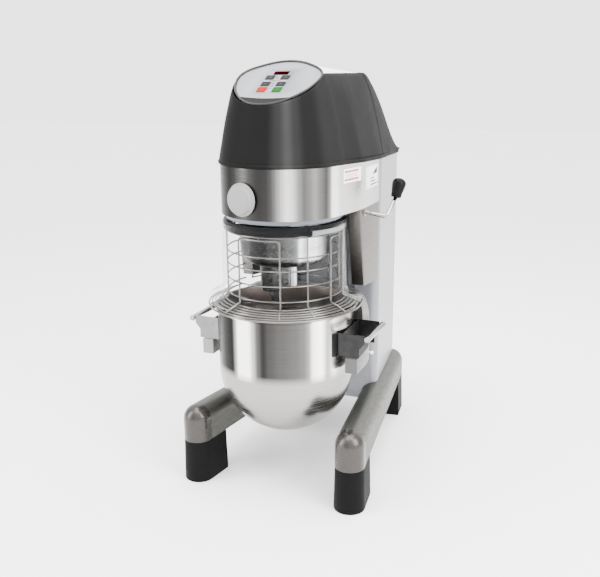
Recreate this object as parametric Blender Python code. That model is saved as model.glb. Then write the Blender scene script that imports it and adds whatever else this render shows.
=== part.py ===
"""Floor-standing planetary mixer. Metres, +Z up; the front faces -Y. Every piece hangs on the empty
"bowl_axis", so the coordinates below are measured from the point of the floor under the bowl's axis."""

import math

import bmesh
import bpy
from mathutils import Matrix, Vector

AXIS_X, AXIS_Y = -0.0068, -0.2012  # the bowl's axis from the middle of the machine
GAP = 0.0003  # clearance between neighbouring pieces

# Base: two splayed rails on four feet.
RAIL_X, RAIL_Y = 0.231, -0.114  # axis of the right rail's front end
RAIL_ANGLE = math.radians(7.45)
RAIL_LENGTH = 0.692  # between the axes of its two round ends
RAIL_R, RAIL_WALL = 0.0405, 0.004
RAIL_BOTTOM, RAIL_AXIS_Z = 0.123, 0.185
RAIL_FALL = 0.015  # how much lower the rounded top lies at the rear end
CAP_LENGTH = 0.012  # straight part of an end cap behind its round nose
FOOT_LENGTH, FOOT_FLARE = 0.080, 0.003

# Column.
COLUMN_FRONT, COLUMN_REAR = 0.240, 0.568
COLUMN_HALF_FRONT, COLUMN_HALF_REAR = 0.189, 0.150
COLUMN_BOTTOM, COLUMN_WALL = 0.180, 0.0025
FRONT_WALL_TOP = 0.779
REAR_OPENING = 0.118

# Head: a steel skin round the bowl's axis, wider towards the column.
HEAD_R, HEAD_BOTTOM, HEAD_TOP = 0.168, 0.780, 0.9092
NECK_HALF, NECK_Y = 0.190, 0.072
SKIN_WALL = 0.002
CHEEK_BOTTOM, CHEEK_INNER, CHEEK_LEAN = 0.560, 0.152, 0.040
HOUSING_BOTTOM, HOUSING_TOP = 0.826, 0.897

# Hood: half width against height, on the front round and on the sides.
HOOD_RIM_Z = 0.910
HOOD_FALL = 0.042  # how much the rim drops per metre behind the axis
HOOD_SEAM_Y, HOOD_REAR_Y = 0.300, 0.572
HOOD_TOP_Z, HOOD_TOP_HALF = 1.135, 0.113
HOOD_WALL = 0.003
HOOD_PROFILE = (
    (0.910, 0.1675), (0.912, 0.1720), (0.919, 0.1720), (0.923, 0.1690), (0.960, 0.1620),
    (1.004, 0.1540), (1.056, 0.1420), (1.090, 0.1330), (1.115, 0.1232), (1.135, 0.1130),
)

# Control panel: a round face on a tilted plane.
PANEL_TILT = math.radians(28.4)
PANEL_CENTRE = Vector((0.0, -0.0433, 1.1139))
PANEL_R = 0.1095
PANEL_FLAT = -0.070  # lower edge of the light face
DISPLAY_AT, DISPLAY_SIZE = (-0.0027, 0.0474), (0.0405, 0.0160)
KEY_X, KEY_ROWS = (-0.0257, 0.0165), (0.0255, -0.0078, -0.0352)
KEY_SIZES = ((0.0235, 0.0215), (0.0235, 0.0215), (0.0240, 0.0245))
KEY_NAMES = (("timer", "display"), ("minus", "plus"), ("stop", "start"))

# Planetary drive.
DRUM_R, DRUM_BOTTOM, DRUM_TOP, DRUM_WALL = 0.121, 0.645, 0.800, 0.004
DRUM_EDGE = 0.033  # radius between its bottom and its side
SPINDLE_AXIS = Vector((-0.0115, -0.0589, 0.0))
SPINDLE_HOUSING_R, SPINDLE_HOUSING_BOTTOM, SPINDLE_TIP = 0.032, 0.575, 0.544
SPINDLE_R = 0.012
IDLER_AT, IDLER_R, IDLER_BOTTOM = (0.031, -0.020), 0.011, 0.580
MODULE = 0.005
RING_TEETH, PINION_TEETH = 36, 12
GEAR_BOTTOM, GEAR_TOP = 0.803, 0.822
MAIN_SHAFT_R, BEARING_R = 0.018, 0.035
PULLEY_Z, PULLEY_WIDTH = 0.924, 0.022
PULLEY_R, MOTOR_PULLEY_R = 0.085, 0.0265
MOTOR_Y, MOTOR_R, MOTOR_BOTTOM, MOTOR_TOP = 0.400, 0.078, 0.610, 0.860

# Guard: a wire cage with a flange, hung from a black ring.
GUARD_INNER, GUARD_R, GUARD_TOP, GUARD_RING_BOTTOM = 0.152, 0.1655, 0.764, 0.740
GUARD_END = math.radians(109)
POST_R, HOOP_R, WIRE_R = 0.159, 0.1565, 0.0024
HOOP_HEIGHTS = (0.7340, 0.6835, 0.649, 0.609, 0.568)
POST_ANGLES = (-107, -52, -25, 19, 45, 72, 107)
FLANGE_RADII = (0.165, 0.1745, 0.1835, 0.193, 0.202, 0.2105)
FLANGE_HEIGHTS = (0.549, 0.5456, 0.542, 0.5388, 0.5354, 0.532)
REAR_GUARD_R, REAR_GUARD_SPAN = 0.1475, math.radians(66)
SHIELD_WALL = 0.0012
SHIELD_PROFILE = ((0.1662, 0.757), (0.1714, 0.590), (0.1745, 0.566), (0.2125, 0.5475))

# Bowl with its two carrying brackets.
BOWL_R, BOWL_WALL, BOWL_RIM_Z, BOWL_CENTRE_Z = 0.188, 0.0022, 0.527, 0.345
RIM_R, RIM_HEIGHT = 0.196, 0.008
BRACKET_Y, BRACKET_BOTTOM, BRACKET_TOP = 0.068, 0.4125, 0.474
BRACKET_OUTER, HANDLE_X, HANDLE_Z, HANDLE_R = 0.238, 0.260, 0.468, 0.0085
PLATE = 0.003

# Yoke and carriage.
YOKE_OUTER, YOKE_INNER, YOKE_BOTTOM, YOKE_FRONT = 0.232, 0.198, 0.366, -0.066
YOKE_CLEAR_R = 0.213
YOKE_RISE = ((0.0770, 0.409), (0.080, 0.455), (0.094, 0.490), (0.131, 0.514), (0.161, 0.528))
CARRIAGE_HALF, CARRIAGE_BOTTOM, CARRIAGE_TOP = 0.120, 0.340, 0.520
GUIDE_X, GUIDE_HALF, GUIDE_DEPTH = 0.075, 0.012, 0.010
GUIDE_BOTTOM, GUIDE_TOP = 0.235, 0.600

# Lever that lifts the bowl.
LEVER_PIVOT = Vector((NECK_HALF, 0.112, 0.768))
LEVER_ROD_R = 0.0055
LEVER_BEND = Vector((0.251, 0.112, 0.760))
GRIP_BASE, GRIP_TOP = Vector((0.2640, 0.152, 0.806)), Vector((0.2705, 0.172, 0.857))

# Accessory hub on the front of the head.
HUB_ANGLE = math.radians(-14.5)
HUB_Z, HUB_R, HUB_CAP_R, HUB_DISC_R = 0.8315, 0.030, 0.0425, 0.037


def clear_scene():
    for obj in list(bpy.data.objects):
        bpy.data.objects.remove(obj)


def make_material(name, colour, roughness, metallic=0.0, alpha=1.0):
    material = bpy.data.materials.new(name)
    material.use_nodes = True
    shader = material.node_tree.nodes["Principled BSDF"]
    shader.inputs["Base Color"].default_value = (*colour, 1.0)
    shader.inputs["Roughness"].default_value = roughness
    shader.inputs["Metallic"].default_value = metallic
    shader.inputs["Alpha"].default_value = alpha
    return material


def make_object(name, bm, material, pivot=(0, 0, 0), turn=0.0, sharp=35):
    """A mesh drawn round the bowl's axis becomes an object whose origin is at pivot."""
    bmesh.ops.remove_doubles(bm, verts=bm.verts, dist=1e-6)
    bmesh.ops.recalc_face_normals(bm, faces=bm.faces)
    bmesh.ops.translate(bm, verts=bm.verts, vec=-Vector(pivot))
    mesh = bpy.data.meshes.new(name)
    bm.to_mesh(mesh)
    bm.free()
    mesh.shade_smooth()
    mesh.set_sharp_from_angle(angle=math.radians(sharp))
    return place_mesh(name, mesh, material, pivot, turn)


def place_mesh(name, mesh, material, pivot=(0, 0, 0), turn=0.0):
    obj = bpy.data.objects.new(name, mesh)
    bpy.context.scene.collection.objects.link(obj)
    if not mesh.materials:
        mesh.materials.append(material)
    obj.location = pivot
    obj.rotation_euler = (0, 0, turn)
    obj.parent = bpy.data.objects["bowl_axis"]
    return obj


def boolean(obj, other, operation):
    """Adds an exact Boolean whose operand is hidden from the render."""
    other.hide_render = True
    other.display_type = "WIRE"
    modifier = obj.modifiers.new(other.name, "BOOLEAN")
    modifier.operation = operation
    modifier.solver = "EXACT"
    modifier.object = other


def skin_loops(bm, loops, close=True):
    """Joins successive loops of equal length with faces; close joins the last loop to the first."""
    rings = [[bm.verts.new(point) for point in loop] for loop in loops]
    count = len(rings[0])
    pairs = list(zip(rings, rings[1:]))
    if close:
        pairs.append((rings[-1], rings[0]))
    for low, high in pairs:
        for i in range(count):
            j = (i + 1) % count
            bm.faces.new((low[i], low[j], high[j], high[i]))
    return rings


def loft(loops):
    """A solid through a stack of closed loops, with a flat cap on each end."""
    bm = bmesh.new()
    rings = skin_loops(bm, loops, close=False)
    bm.faces.new(rings[0])
    bm.faces.new(rings[-1])
    return bm


def circle(radius, z, segments, centre=(0.0, 0.0)):
    step = 2 * math.pi / segments
    return [
        Vector((centre[0] + radius * math.cos(i * step), centre[1] + radius * math.sin(i * step), z))
        for i in range(segments)
    ]


def lathe(profile, segments, centre=(0.0, 0.0)):
    """A solid of revolution about a vertical axis; the profile is a closed (radius, height) outline
    that stays off the axis, or an open one that starts and ends on it."""
    bm = bmesh.new()
    on_axis = profile[0][0] == 0
    inner = profile[1:-1] if on_axis else profile
    rings = skin_loops(bm, [circle(r, z, segments, centre) for r, z in inner], close=not on_axis)
    if on_axis:
        for ring, (_, z) in ((rings[0], profile[0]), (rings[-1], profile[-1])):
            tip = bm.verts.new((centre[0], centre[1], z))
            for i in range(segments):
                bm.faces.new((ring[i], ring[(i + 1) % segments], tip))
    return bm


def prism(outline, low, high):
    return loft([[Vector((x, y, z)) for x, y in outline] for z in (low, high)])


def box(low, high):
    return prism(
        [(low[0], low[1]), (high[0], low[1]), (high[0], high[1]), (low[0], high[1])], low[2], high[2],
    )


def arc(radius, start, end, steps, centre=(0.0, 0.0)):
    """Plan points on a circle; angles are measured from the front (-Y) towards +X."""
    points = []
    for i in range(steps + 1):
        a = start + (end - start) * i / steps
        points.append((centre[0] + radius * math.sin(a), centre[1] - radius * math.cos(a)))
    return points


def mirrored(points):
    """The points of the right side, then the same points on the left in reverse order."""
    return points + [(-x, y) for x, y in reversed(points)]


def tube_loops(path, radius, sides):
    """Loops of a round bar along a path, turned as little as possible from point to point."""
    loops = []
    normal = None
    for i, point in enumerate(path):
        before, after = path[max(i - 1, 0)], path[min(i + 1, len(path) - 1)]
        along = (after - before).normalized()
        if normal is None:
            normal = along.cross(Vector((0.3, 0.2, 1.0))).normalized()
        normal = (normal - along * normal.dot(along)).normalized()
        other = along.cross(normal)
        loops.append([
            point + normal * radius * math.cos(2 * math.pi * k / sides)
            + other * radius * math.sin(2 * math.pi * k / sides)
            for k in range(sides)
        ])
    return loops


def bar(path, radius, sides):
    return loft(tube_loops([Vector(p) for p in path], radius, sides))


def curved_wall(plan, inner_plan, bottom, top):
    """An upright wall between an outer and an inner plan; bottom may differ from point to point."""
    heights = bottom if isinstance(bottom, list) else [bottom] * len(plan)
    bm = bmesh.new()
    rows = []
    for line, level in ((plan, heights), (plan, top), (inner_plan, top), (inner_plan, heights)):
        levels = level if isinstance(level, list) else [level] * len(plan)
        rows.append([bm.verts.new((x, y, z)) for (x, y), z in zip(line, levels)])
    for a, b in zip(rows, rows[1:] + rows[:1]):
        for i in range(len(plan) - 1):
            bm.faces.new((a[i], a[i + 1], b[i + 1], b[i]))
    for end in (0, -1):
        bm.faces.new([row[end] for row in rows])
    return bm


def offset_plan(plan, distance):
    """An open plan line moved to its left-hand side, mitred at its corners."""
    moved = []
    for i, (x, y) in enumerate(plan):
        normals = []
        for a, b in ((i - 1, i), (i, i + 1)):
            if a >= 0 and b < len(plan):
                dx, dy = plan[b][0] - plan[a][0], plan[b][1] - plan[a][1]
                length = math.hypot(dx, dy)
                normals.append((-dy / length, dx / length))
        nx = sum(n[0] for n in normals) / len(normals)
        ny = sum(n[1] for n in normals) / len(normals)
        scale = distance / (nx * nx + ny * ny)
        moved.append((x + nx * scale, y + ny * scale))
    return moved


# ---------------------------------------------------------------- base


def rail_section(radius, bottom, steps, fall):
    """Inverted U: two upright sides and a round top, as (across, height) points."""
    points = [(-radius, bottom)]
    for i in range(steps + 1):
        a = math.pi * i / steps
        points.append((-radius * math.cos(a), RAIL_AXIS_Z - fall + radius * math.sin(a)))
    return points + [(radius, bottom)]


def rail_mesh():
    loops = []
    for s in (CAP_LENGTH + GAP, RAIL_LENGTH - CAP_LENGTH - GAP):
        fall = RAIL_FALL * s / RAIL_LENGTH
        outer = rail_section(RAIL_R, RAIL_BOTTOM, 10, fall)
        inner = rail_section(RAIL_R - RAIL_WALL, RAIL_BOTTOM, 10, fall)
        loops.append([Vector((t, s, z)) for t, z in outer + inner[::-1]])
    return loft(loops)


def cap_mesh(fall):
    """Round nose under a quarter sphere, with a short straight part that meets the rail."""
    axis_z = RAIL_AXIS_Z - fall
    columns = [math.pi * i / 12 - math.pi / 2 for i in range(13)]
    bm = bmesh.new()
    rows = []
    for z, shrink in [(RAIL_BOTTOM, 0.0)] + [(axis_z, a) for a in (0, 22.5, 45, 67.5)]:
        lift, reach = RAIL_R * math.sin(math.radians(shrink)), RAIL_R * math.cos(math.radians(shrink))
        row = [bm.verts.new((reach, CAP_LENGTH, z + lift))]
        row += [bm.verts.new((reach * math.sin(-a), -reach * math.cos(a), z + lift)) for a in columns]
        row.append(bm.verts.new((-reach, CAP_LENGTH, z + lift)))
        rows.append(row)
    for low, high in zip(rows, rows[1:]):
        for i in range(len(low) - 1):
            bm.faces.new((low[i], low[i + 1], high[i + 1], high[i]))
    crown = bm.verts.new((0, 0, axis_z + RAIL_R))
    crown_back = bm.verts.new((0, CAP_LENGTH, axis_z + RAIL_R))
    last = rows[-1]
    for i in range(1, len(last) - 2):
        bm.faces.new((last[i], last[i + 1], crown))
    bm.faces.new((last[0], last[1], crown, crown_back))
    bm.faces.new((last[-2], last[-1], crown_back, crown))
    bm.faces.new([row[0] for row in rows] + [crown_back] + [row[-1] for row in reversed(rows)])
    bm.faces.new(rows[0])
    return bm


def foot_mesh(_):
    top, bottom = RAIL_R - GAP, RAIL_R + FOOT_FLARE
    loops = []
    for radius, z in ((bottom, 0.0), (top, RAIL_BOTTOM - GAP)):
        plan = arc(radius, -math.pi / 2, math.pi / 2, 12) + [(radius, FOOT_LENGTH), (-radius, FOOT_LENGTH)]
        loops.append([Vector((x, y, z)) for x, y in plan])
    return loft(loops)


def make_base(steel, cast, rubber, paint):
    """Both rails, a cap and a foot at each of their ends, and the plate between them."""
    for side, x_sign in (("right", 1), ("left", -1)):
        turn = x_sign * RAIL_ANGLE
        front = Vector((x_sign * RAIL_X, RAIL_Y, 0))
        rear = front + Matrix.Rotation(turn, 3, "Z") @ Vector((0, RAIL_LENGTH, 0))
        rail = make_object(f"rail_{side}", rail_mesh(), steel)
        rail.location, rail.rotation_euler = front, (0, 0, turn)
        ends = (("front", front, turn, 0.0), ("rear", rear, turn + math.pi, RAIL_FALL))
        for end, place, spin, fall in ends:
            for kind, build, material in (("rail_cap", cap_mesh, cast), ("foot", foot_mesh, rubber)):
                piece = make_object(f"{kind}_{end}_{side}", build(fall), material)
                piece.location, piece.rotation_euler = place, (0, 0, spin)
    margin = RAIL_R / math.cos(RAIL_ANGLE) + 0.001
    outline = []
    for y in (COLUMN_FRONT + 0.004, COLUMN_REAR):
        outline.append((rail_centre_x(y) - margin, y))
    outline = [(-x, y) for x, y in outline[::-1]] + outline
    make_object("base_plate", prism(outline, 0.160, COLUMN_BOTTOM - GAP), paint)


def rail_centre_x(y):
    return RAIL_X - math.tan(RAIL_ANGLE) * (y - RAIL_Y)


# ---------------------------------------------------------------- column


def over_rail(x, y):
    """Lowest height at which a wall at (x, y) clears the rail and the base plate."""
    across = (abs(x) - rail_centre_x(y)) * math.cos(RAIL_ANGLE)
    reach = RAIL_R + 0.0009
    if abs(across) >= reach:
        return COLUMN_BOTTOM
    fall = RAIL_FALL * (y - RAIL_Y) / (RAIL_LENGTH * math.cos(RAIL_ANGLE))
    return RAIL_AXIS_Z - fall + math.sqrt(reach * reach - across * across)


def make_column(paint):
    half = [(0.0, COLUMN_FRONT), (0.070, COLUMN_FRONT), (0.140, COLUMN_FRONT)]
    half += [(x, COLUMN_FRONT) for x in (0.1445, 0.148, 0.154, 0.162)]
    corner = 0.022
    half += arc(corner, 0, math.pi / 2 + 0.13, 5, (COLUMN_HALF_FRONT - corner, COLUMN_FRONT + corner))
    half += [(COLUMN_HALF_REAR + 0.0005, COLUMN_REAR - 0.016)]
    half += arc(0.012, math.pi / 2 + 0.13, math.pi, 3, (COLUMN_HALF_REAR - 0.0115, COLUMN_REAR - 0.012))
    half += [(x, COLUMN_REAR) for x in (0.134, 0.130, 0.126, 0.122, REAR_OPENING)]
    plan = [(-x, y) for x, y in reversed(half[1:])] + half
    inner = offset_plan(plan, COLUMN_WALL)
    bottoms = [over_rail(x, y) for x, y in plan]
    tops = [
        FRONT_WALL_TOP if y < COLUMN_FRONT + 0.001 and abs(x) < 0.163 else rim_bottom(y) - 0.0006
        for x, y in plan
    ]
    make_object("column_shell", curved_wall(plan, inner, bottoms, tops), paint)
    reach = REAR_OPENING - GAP
    top = rim_bottom(COLUMN_REAR) - 0.0026
    cover = box((-reach, COLUMN_REAR - 0.0025, 0.225), (reach, COLUMN_REAR, top))
    make_object("rear_cover", cover, paint)


# ---------------------------------------------------------------- head


def head_plan(radius, half, rear, steps=24):
    """Plan of the head: round at the front, then out to the neck and straight back to rear."""
    front = arc(radius, 0, math.pi / 2, steps // 2)
    side = [(half - (half - radius) * 0.35, NECK_Y * 0.5), (half, NECK_Y), (half, rear)]
    return [(-x, y) for x, y in reversed(side)] + [(-x, y) for x, y in reversed(front[1:])] + front + side


def make_head_skin(steel):
    plan = head_plan(HEAD_R, NECK_HALF, COLUMN_FRONT - 0.001)
    inner = offset_plan(plan, SKIN_WALL)
    tops = [HEAD_TOP - HOOD_FALL * max(0.0, y) for _, y in plan]
    make_object("head_skin", curved_wall(plan, inner, HEAD_BOTTOM, tops), steel)
    for side, sign in (("right", 1), ("left", -1)):
        make_object(f"neck_cheek_{side}", cheek_mesh(sign), steel)


def cheek_mesh(sign):
    """Steel casing under the head beside the guard: outer side, leaning front and inner side."""
    rows = []
    for z, lean in ((CHEEK_BOTTOM, CHEEK_LEAN), (HEAD_BOTTOM - GAP, 0.0)):
        y = NECK_Y + 0.004 + lean
        outer = [
            (NECK_HALF, COLUMN_FRONT - 0.001), (NECK_HALF, y), (CHEEK_INNER, y),
            (CHEEK_INNER, COLUMN_FRONT - 0.001),
        ]
        inner = offset_plan(outer, -SKIN_WALL)
        rows.append([Vector((sign * x, v, z)) for x, v in outer + inner[::-1]])
    return loft(rows)


def make_head_ring(paint):
    """Painted lower flange of the gearbox, round the drum."""
    profile = [
        (0.1235, 0.7685), (0.152, 0.7665), (0.157, 0.7700), (0.157, HEAD_BOTTOM - GAP),
        (0.1235, HEAD_BOTTOM - GAP),
    ]
    make_object("head_ring", lathe(profile, 40), paint)


def make_housing(cast):
    """Gearbox housing: a deck with a wall round it and a bearing tower, reaching back over the motor."""
    plan = head_plan(HEAD_R - 0.006, 0.146, COLUMN_REAR - 0.060, 20)
    deck = make_object("gearbox_housing", prism(plan, HOUSING_BOTTOM, HOUSING_TOP), cast)
    pocket_plan = head_plan(HEAD_R - 0.016, 0.136, COLUMN_REAR - 0.070, 20)
    pocket = make_object(
        "housing_pocket", prism(pocket_plan, HOUSING_BOTTOM + 0.012, HOUSING_TOP + 0.01), cast,
    )
    tower = make_object("housing_tower", lathe_solid(0.046, HOUSING_BOTTOM + 0.004, HOUSING_TOP, 20), cast)
    bore = make_object("housing_bore", lathe_solid(BEARING_R + GAP, 0.80, 0.92, 20), cast)
    motor_hole = lathe_solid(MOTOR_R + 0.002, 0.80, 0.92, 20, (0, MOTOR_Y))
    hole = make_object("housing_motor_hole", motor_hole, cast)
    boolean(deck, pocket, "DIFFERENCE")
    boolean(deck, tower, "UNION")
    boolean(deck, bore, "DIFFERENCE")
    boolean(deck, hole, "DIFFERENCE")


def lathe_solid(radius, low, high, segments, centre=(0.0, 0.0)):
    return loft([circle(radius, z, segments, centre) for z in (low, high)])


# ---------------------------------------------------------------- hood and panel


def panel_point(x, up, lift=0.0):
    """A point of the tilted panel: x across, up its slope, lift out of its face."""
    return PANEL_CENTRE + Matrix.Rotation(PANEL_TILT, 3, "X") @ Vector((x, up, lift))


def hood_half(z):
    """Half width of the hood at a height, read off its profile."""
    for (z0, r0), (z1, r1) in zip(HOOD_PROFILE, HOOD_PROFILE[1:]):
        if z <= z1:
            return r0 + (r1 - r0) * (z - z0) / (z1 - z0)
    return HOOD_PROFILE[-1][1]


def hood_top_at(angle):
    """Height where the front round of the hood meets the panel's plane."""
    slope = math.tan(PANEL_TILT)
    low, high = HOOD_RIM_Z, HOOD_TOP_Z
    for _ in range(30):
        z = (low + high) / 2
        y = -hood_half(z) * math.cos(angle)
        plane = PANEL_CENTRE.z + slope * (y - PANEL_CENTRE.y)
        if z < plane:
            low = z
        else:
            high = z
    return low


def rim_bottom(y):
    """Height of the rim's lower edge at a distance behind the axis."""
    return HOOD_RIM_Z - HOOD_FALL * max(0.0, y)


def rim_drop(y, z):
    """How far a level of the hood lies below its height at the front: all of the fall at the rim, none
    at the top."""
    base = HOOD_PROFILE[3][0]
    share = 1.0 - max(0.0, z - base) / (HOOD_TOP_Z - base)
    return HOOD_FALL * max(0.0, y) * share


def hood_side_x(y, z):
    """Half width behind the axis: the rim follows the neck, the top edge stays narrow."""
    spread = side_half(y) - HEAD_R
    if z > HOOD_PROFILE[2][0]:
        spread *= 0.77
    share = (hood_half(z) - HOOD_TOP_HALF) / (HEAD_R - HOOD_TOP_HALF)
    return hood_half(z) + spread * max(0.0, share)


def side_half(y):
    """Half width of the body under the rim at a distance behind the axis."""
    if y <= NECK_Y:
        return HEAD_R + (NECK_HALF - HEAD_R) * max(0.0, y) / NECK_Y
    if y <= COLUMN_FRONT:
        return NECK_HALF
    return NECK_HALF + (COLUMN_HALF_REAR - NECK_HALF) * (y - COLUMN_FRONT) / (COLUMN_REAR - COLUMN_FRONT)


def sheet(name, rows, wall, material):
    """A grid of points becomes a shell of the given wall thickness, grown inwards."""
    bm = bmesh.new()
    grid = [[bm.verts.new(p) for p in row] for row in rows]
    for a, b in zip(grid, grid[1:]):
        for i in range(len(a) - 1):
            bm.faces.new((a[i], a[i + 1], b[i + 1], b[i]))
    obj = make_object(name, bm, material)
    thick = obj.modifiers.new("wall", "SOLIDIFY")
    thick.thickness = wall
    thick.offset = -1
    return obj


def make_hood(plastic):
    levels = [z for z, _ in HOOD_PROFILE]
    angles = [math.pi / 2 * i / 10 for i in range(11)]
    right = [("front", a) for a in angles] + [
        ("side", y) for y in (0.040, 0.080, 0.160, 0.230, HOOD_SEAM_Y - GAP)
    ]
    rows = []
    for level in range(len(levels)):
        half = []
        for kind, value in right:
            if kind == "front":
                top = hood_top_at(value)
                z = top_scaled(levels[level], top)
                radius = hood_half(z)
                half.append(Vector((radius * math.sin(value), -radius * math.cos(value), z)))
            else:
                z = levels[level]
                half.append(Vector((hood_side_x(value, z), value, z - rim_drop(value, z))))
        left = [Vector((-p.x, p.y, p.z)) for p in reversed(half[1:])]
        rows.append(left + half)
    sheet("hood_front", rows, HOOD_WALL, plastic)


def top_scaled(z, top):
    """Keeps the rim's levels and squeezes those above it under the local top."""
    base = HOOD_PROFILE[3][0]
    if z <= base:
        return z
    return base + (z - base) * (top - base) / (HOOD_TOP_Z - base)


def hood_crest(share):
    """Distance behind the axis and height of the rear hood's top edge, from the seam (0) to the back (1)."""
    base = HOOD_PROFILE[3][0] + 0.004
    y = HOOD_SEAM_Y + GAP + (HOOD_REAR_Y - HOOD_SEAM_Y) * share
    fall = max(0.0, share - 0.04) / 0.96
    return y, base + (HOOD_TOP_Z - base) * (1 - fall**1.7)


def make_rear_hood(plastic):
    rows = []
    base = HOOD_PROFILE[3][0]
    for share in (0.0, 0.04, 0.18, 0.38, 0.58, 0.78, 0.9, 1.0):
        y, crest = hood_crest(share)
        half = []
        for z, _ in HOOD_PROFILE:
            height = z if z <= base else base + (z - base) * (crest - base) / (HOOD_TOP_Z - base)
            half.append(Vector((hood_side_x(y, z), y, height - rim_drop(y, height))))
        inner, top = half[-1].x, half[-1].z
        half += [Vector((inner * k, y, top + 0.004 * (1 - k * k))) for k in (0.66, 0.33, 0.0)]
        left = [Vector((-p.x, p.y, p.z)) for p in reversed(half[:-1])]
        rows.append(half + left)
    sheet("hood_rear", rows, HOOD_WALL, plastic)


def make_top_cover(plastic):
    """Domed light cover behind the panel, between the hood's two top edges."""
    rows = []
    rear = HOOD_SEAM_Y - 0.002
    for share in (0.0, 0.15, 0.35, 0.6, 0.85, 1.0):
        row = []
        for i in range(-7, 8):
            k = i / 7
            angle = k * math.radians(68)
            reach = panel_radius(math.pi - angle) - 0.0025
            start = panel_point(reach * math.sin(angle), reach * math.cos(angle), -0.0022)
            x_end = (HOOD_TOP_HALF - 0.004) * max(-1.0, min(1.0, k * 1.1))
            end = Vector((x_end, rear, HOOD_TOP_Z - 0.001 + 0.003 * (1 - k * k)))
            point = start.lerp(end, share)
            point.z += 0.002 * (1 - k * k) * math.sin(math.pi * share)
            row.append(point)
        rows.append(row)
    sheet("top_cover", [row[::-1] for row in rows], 0.0025, plastic)


def panel_disc(name, outline, low, high, material, pivot=None, rounded=False):
    """A plate on the panel: a closed outline of (x, up) between two heights out of its face."""
    bm = loft([[panel_point(x, up, lift) for x, up in outline] for lift in (low, high)])
    return make_object(name, bm, material, pivot or (0, 0, 0))


def rounded_box(x, up, width, height, radius=0.004):
    outline = []
    for sx, sy, start in ((1, 1, 0), (-1, 1, 90), (-1, -1, 180), (1, -1, 270)):
        cx, cy = x + sx * (width / 2 - radius), up + sy * (height / 2 - radius)
        for i in range(3):
            a = math.radians(start + 45 * i)
            outline.append((cx + radius * math.cos(a), cy + radius * math.sin(a)))
    return outline


def panel_radius(turn):
    """Outer radius of the bezel at an angle from its lower end; it is widest above the middle."""
    degrees = abs(math.degrees(turn))
    degrees = min(degrees, 360 - degrees)
    wide = math.exp(-(((degrees - 112) / 22) ** 2))
    narrow = math.exp(-(((degrees - 52) / 24) ** 2))
    return PANEL_R + 0.0115 * wide - 0.0050 * narrow


def panel_arc(inset, start, end, steps):
    """Points (x, up) along the bezel, inside its outer edge by the inset; angles as in arc."""
    points = []
    for i in range(steps + 1):
        a = start + (end - start) * i / steps
        reach = panel_radius(a) - inset
        points.append((reach * math.sin(a), -reach * math.cos(a)))
    return points


def make_panel(face, bezel, glass, key_colours):
    """Bezel ring, light face plate, display window and six sprung keys."""
    bm = bmesh.new()
    loops = []
    for inset, lift in ((0.0050, 0.0), (0.0042, 0.003), (0.0010, 0.0042), (-0.0012, 0.0012), (0.0035, GAP)):
        line = panel_arc(inset, 0, 2 * math.pi, 48)[:-1]
        loops.append([panel_point(x, up, lift) for x, up in line])
    skin_loops(bm, loops)
    make_object("panel_bezel", bm, bezel)
    edge = math.acos(-PANEL_FLAT / (panel_radius(math.radians(45)) - 0.0056))
    outline = panel_arc(0.0056, edge, 2 * math.pi - edge, 36)
    plate = panel_disc("control_panel", outline, -0.004, -0.001, face)
    cutters = [("display", *DISPLAY_AT, *DISPLAY_SIZE)]
    for up, size, names in zip(KEY_ROWS, KEY_SIZES, KEY_NAMES):
        cutters += [(name, x, up, *size) for x, name in zip(KEY_X, names)]
    for name, x, up, width, height in cutters:
        hole = rounded_box(x, up, width + 0.0008, height + 0.0008, 0.0044)
        boolean(plate, panel_disc(f"cut_{name}_{up}", hole, -0.006, 0.001, face), "DIFFERENCE")
    display = rounded_box(*DISPLAY_AT, *DISPLAY_SIZE)
    panel_disc("display_window", display, -0.004, -0.0012, glass)
    for up, size, names in zip(KEY_ROWS, KEY_SIZES, KEY_NAMES):
        for x, name in zip(KEY_X, names):
            key = rounded_box(x, up, *size)
            panel_disc(f"key_{name}", key, -0.0055, -0.0002, key_colours[name], panel_point(x, up))
    board = box((-0.060, -0.050, -0.0115), (0.052, 0.070, -0.0100))
    bmesh.ops.transform(
        board, matrix=Matrix.Translation(PANEL_CENTRE) @ Matrix.Rotation(PANEL_TILT, 4, "X"),
        verts=board.verts,
    )
    make_object("control_board", board, key_colours["start"])


# ---------------------------------------------------------------- drive


def gear_outline(teeth, pitch_radius, inside=False):
    """Trapezoid teeth round a pitch circle, four points to a tooth, meshing on the line from the
    main shaft to the spindle."""
    points = []
    crest = pitch_radius + (-MODULE if inside else MODULE) * 0.8
    root = pitch_radius + (MODULE if inside else -MODULE) * 1.1
    line = math.atan2(SPINDLE_AXIS.y, SPINDLE_AXIS.x)
    middle = 0.20 if inside else 0.70
    for i in range(teeth):
        for share, radius in ((0.0, root), (0.40, root), (0.58, crest), (0.82, crest)):
            a = line + 2 * math.pi * (i + share - middle) / teeth
            points.append((radius * math.cos(a), radius * math.sin(a)))
    return points


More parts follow.
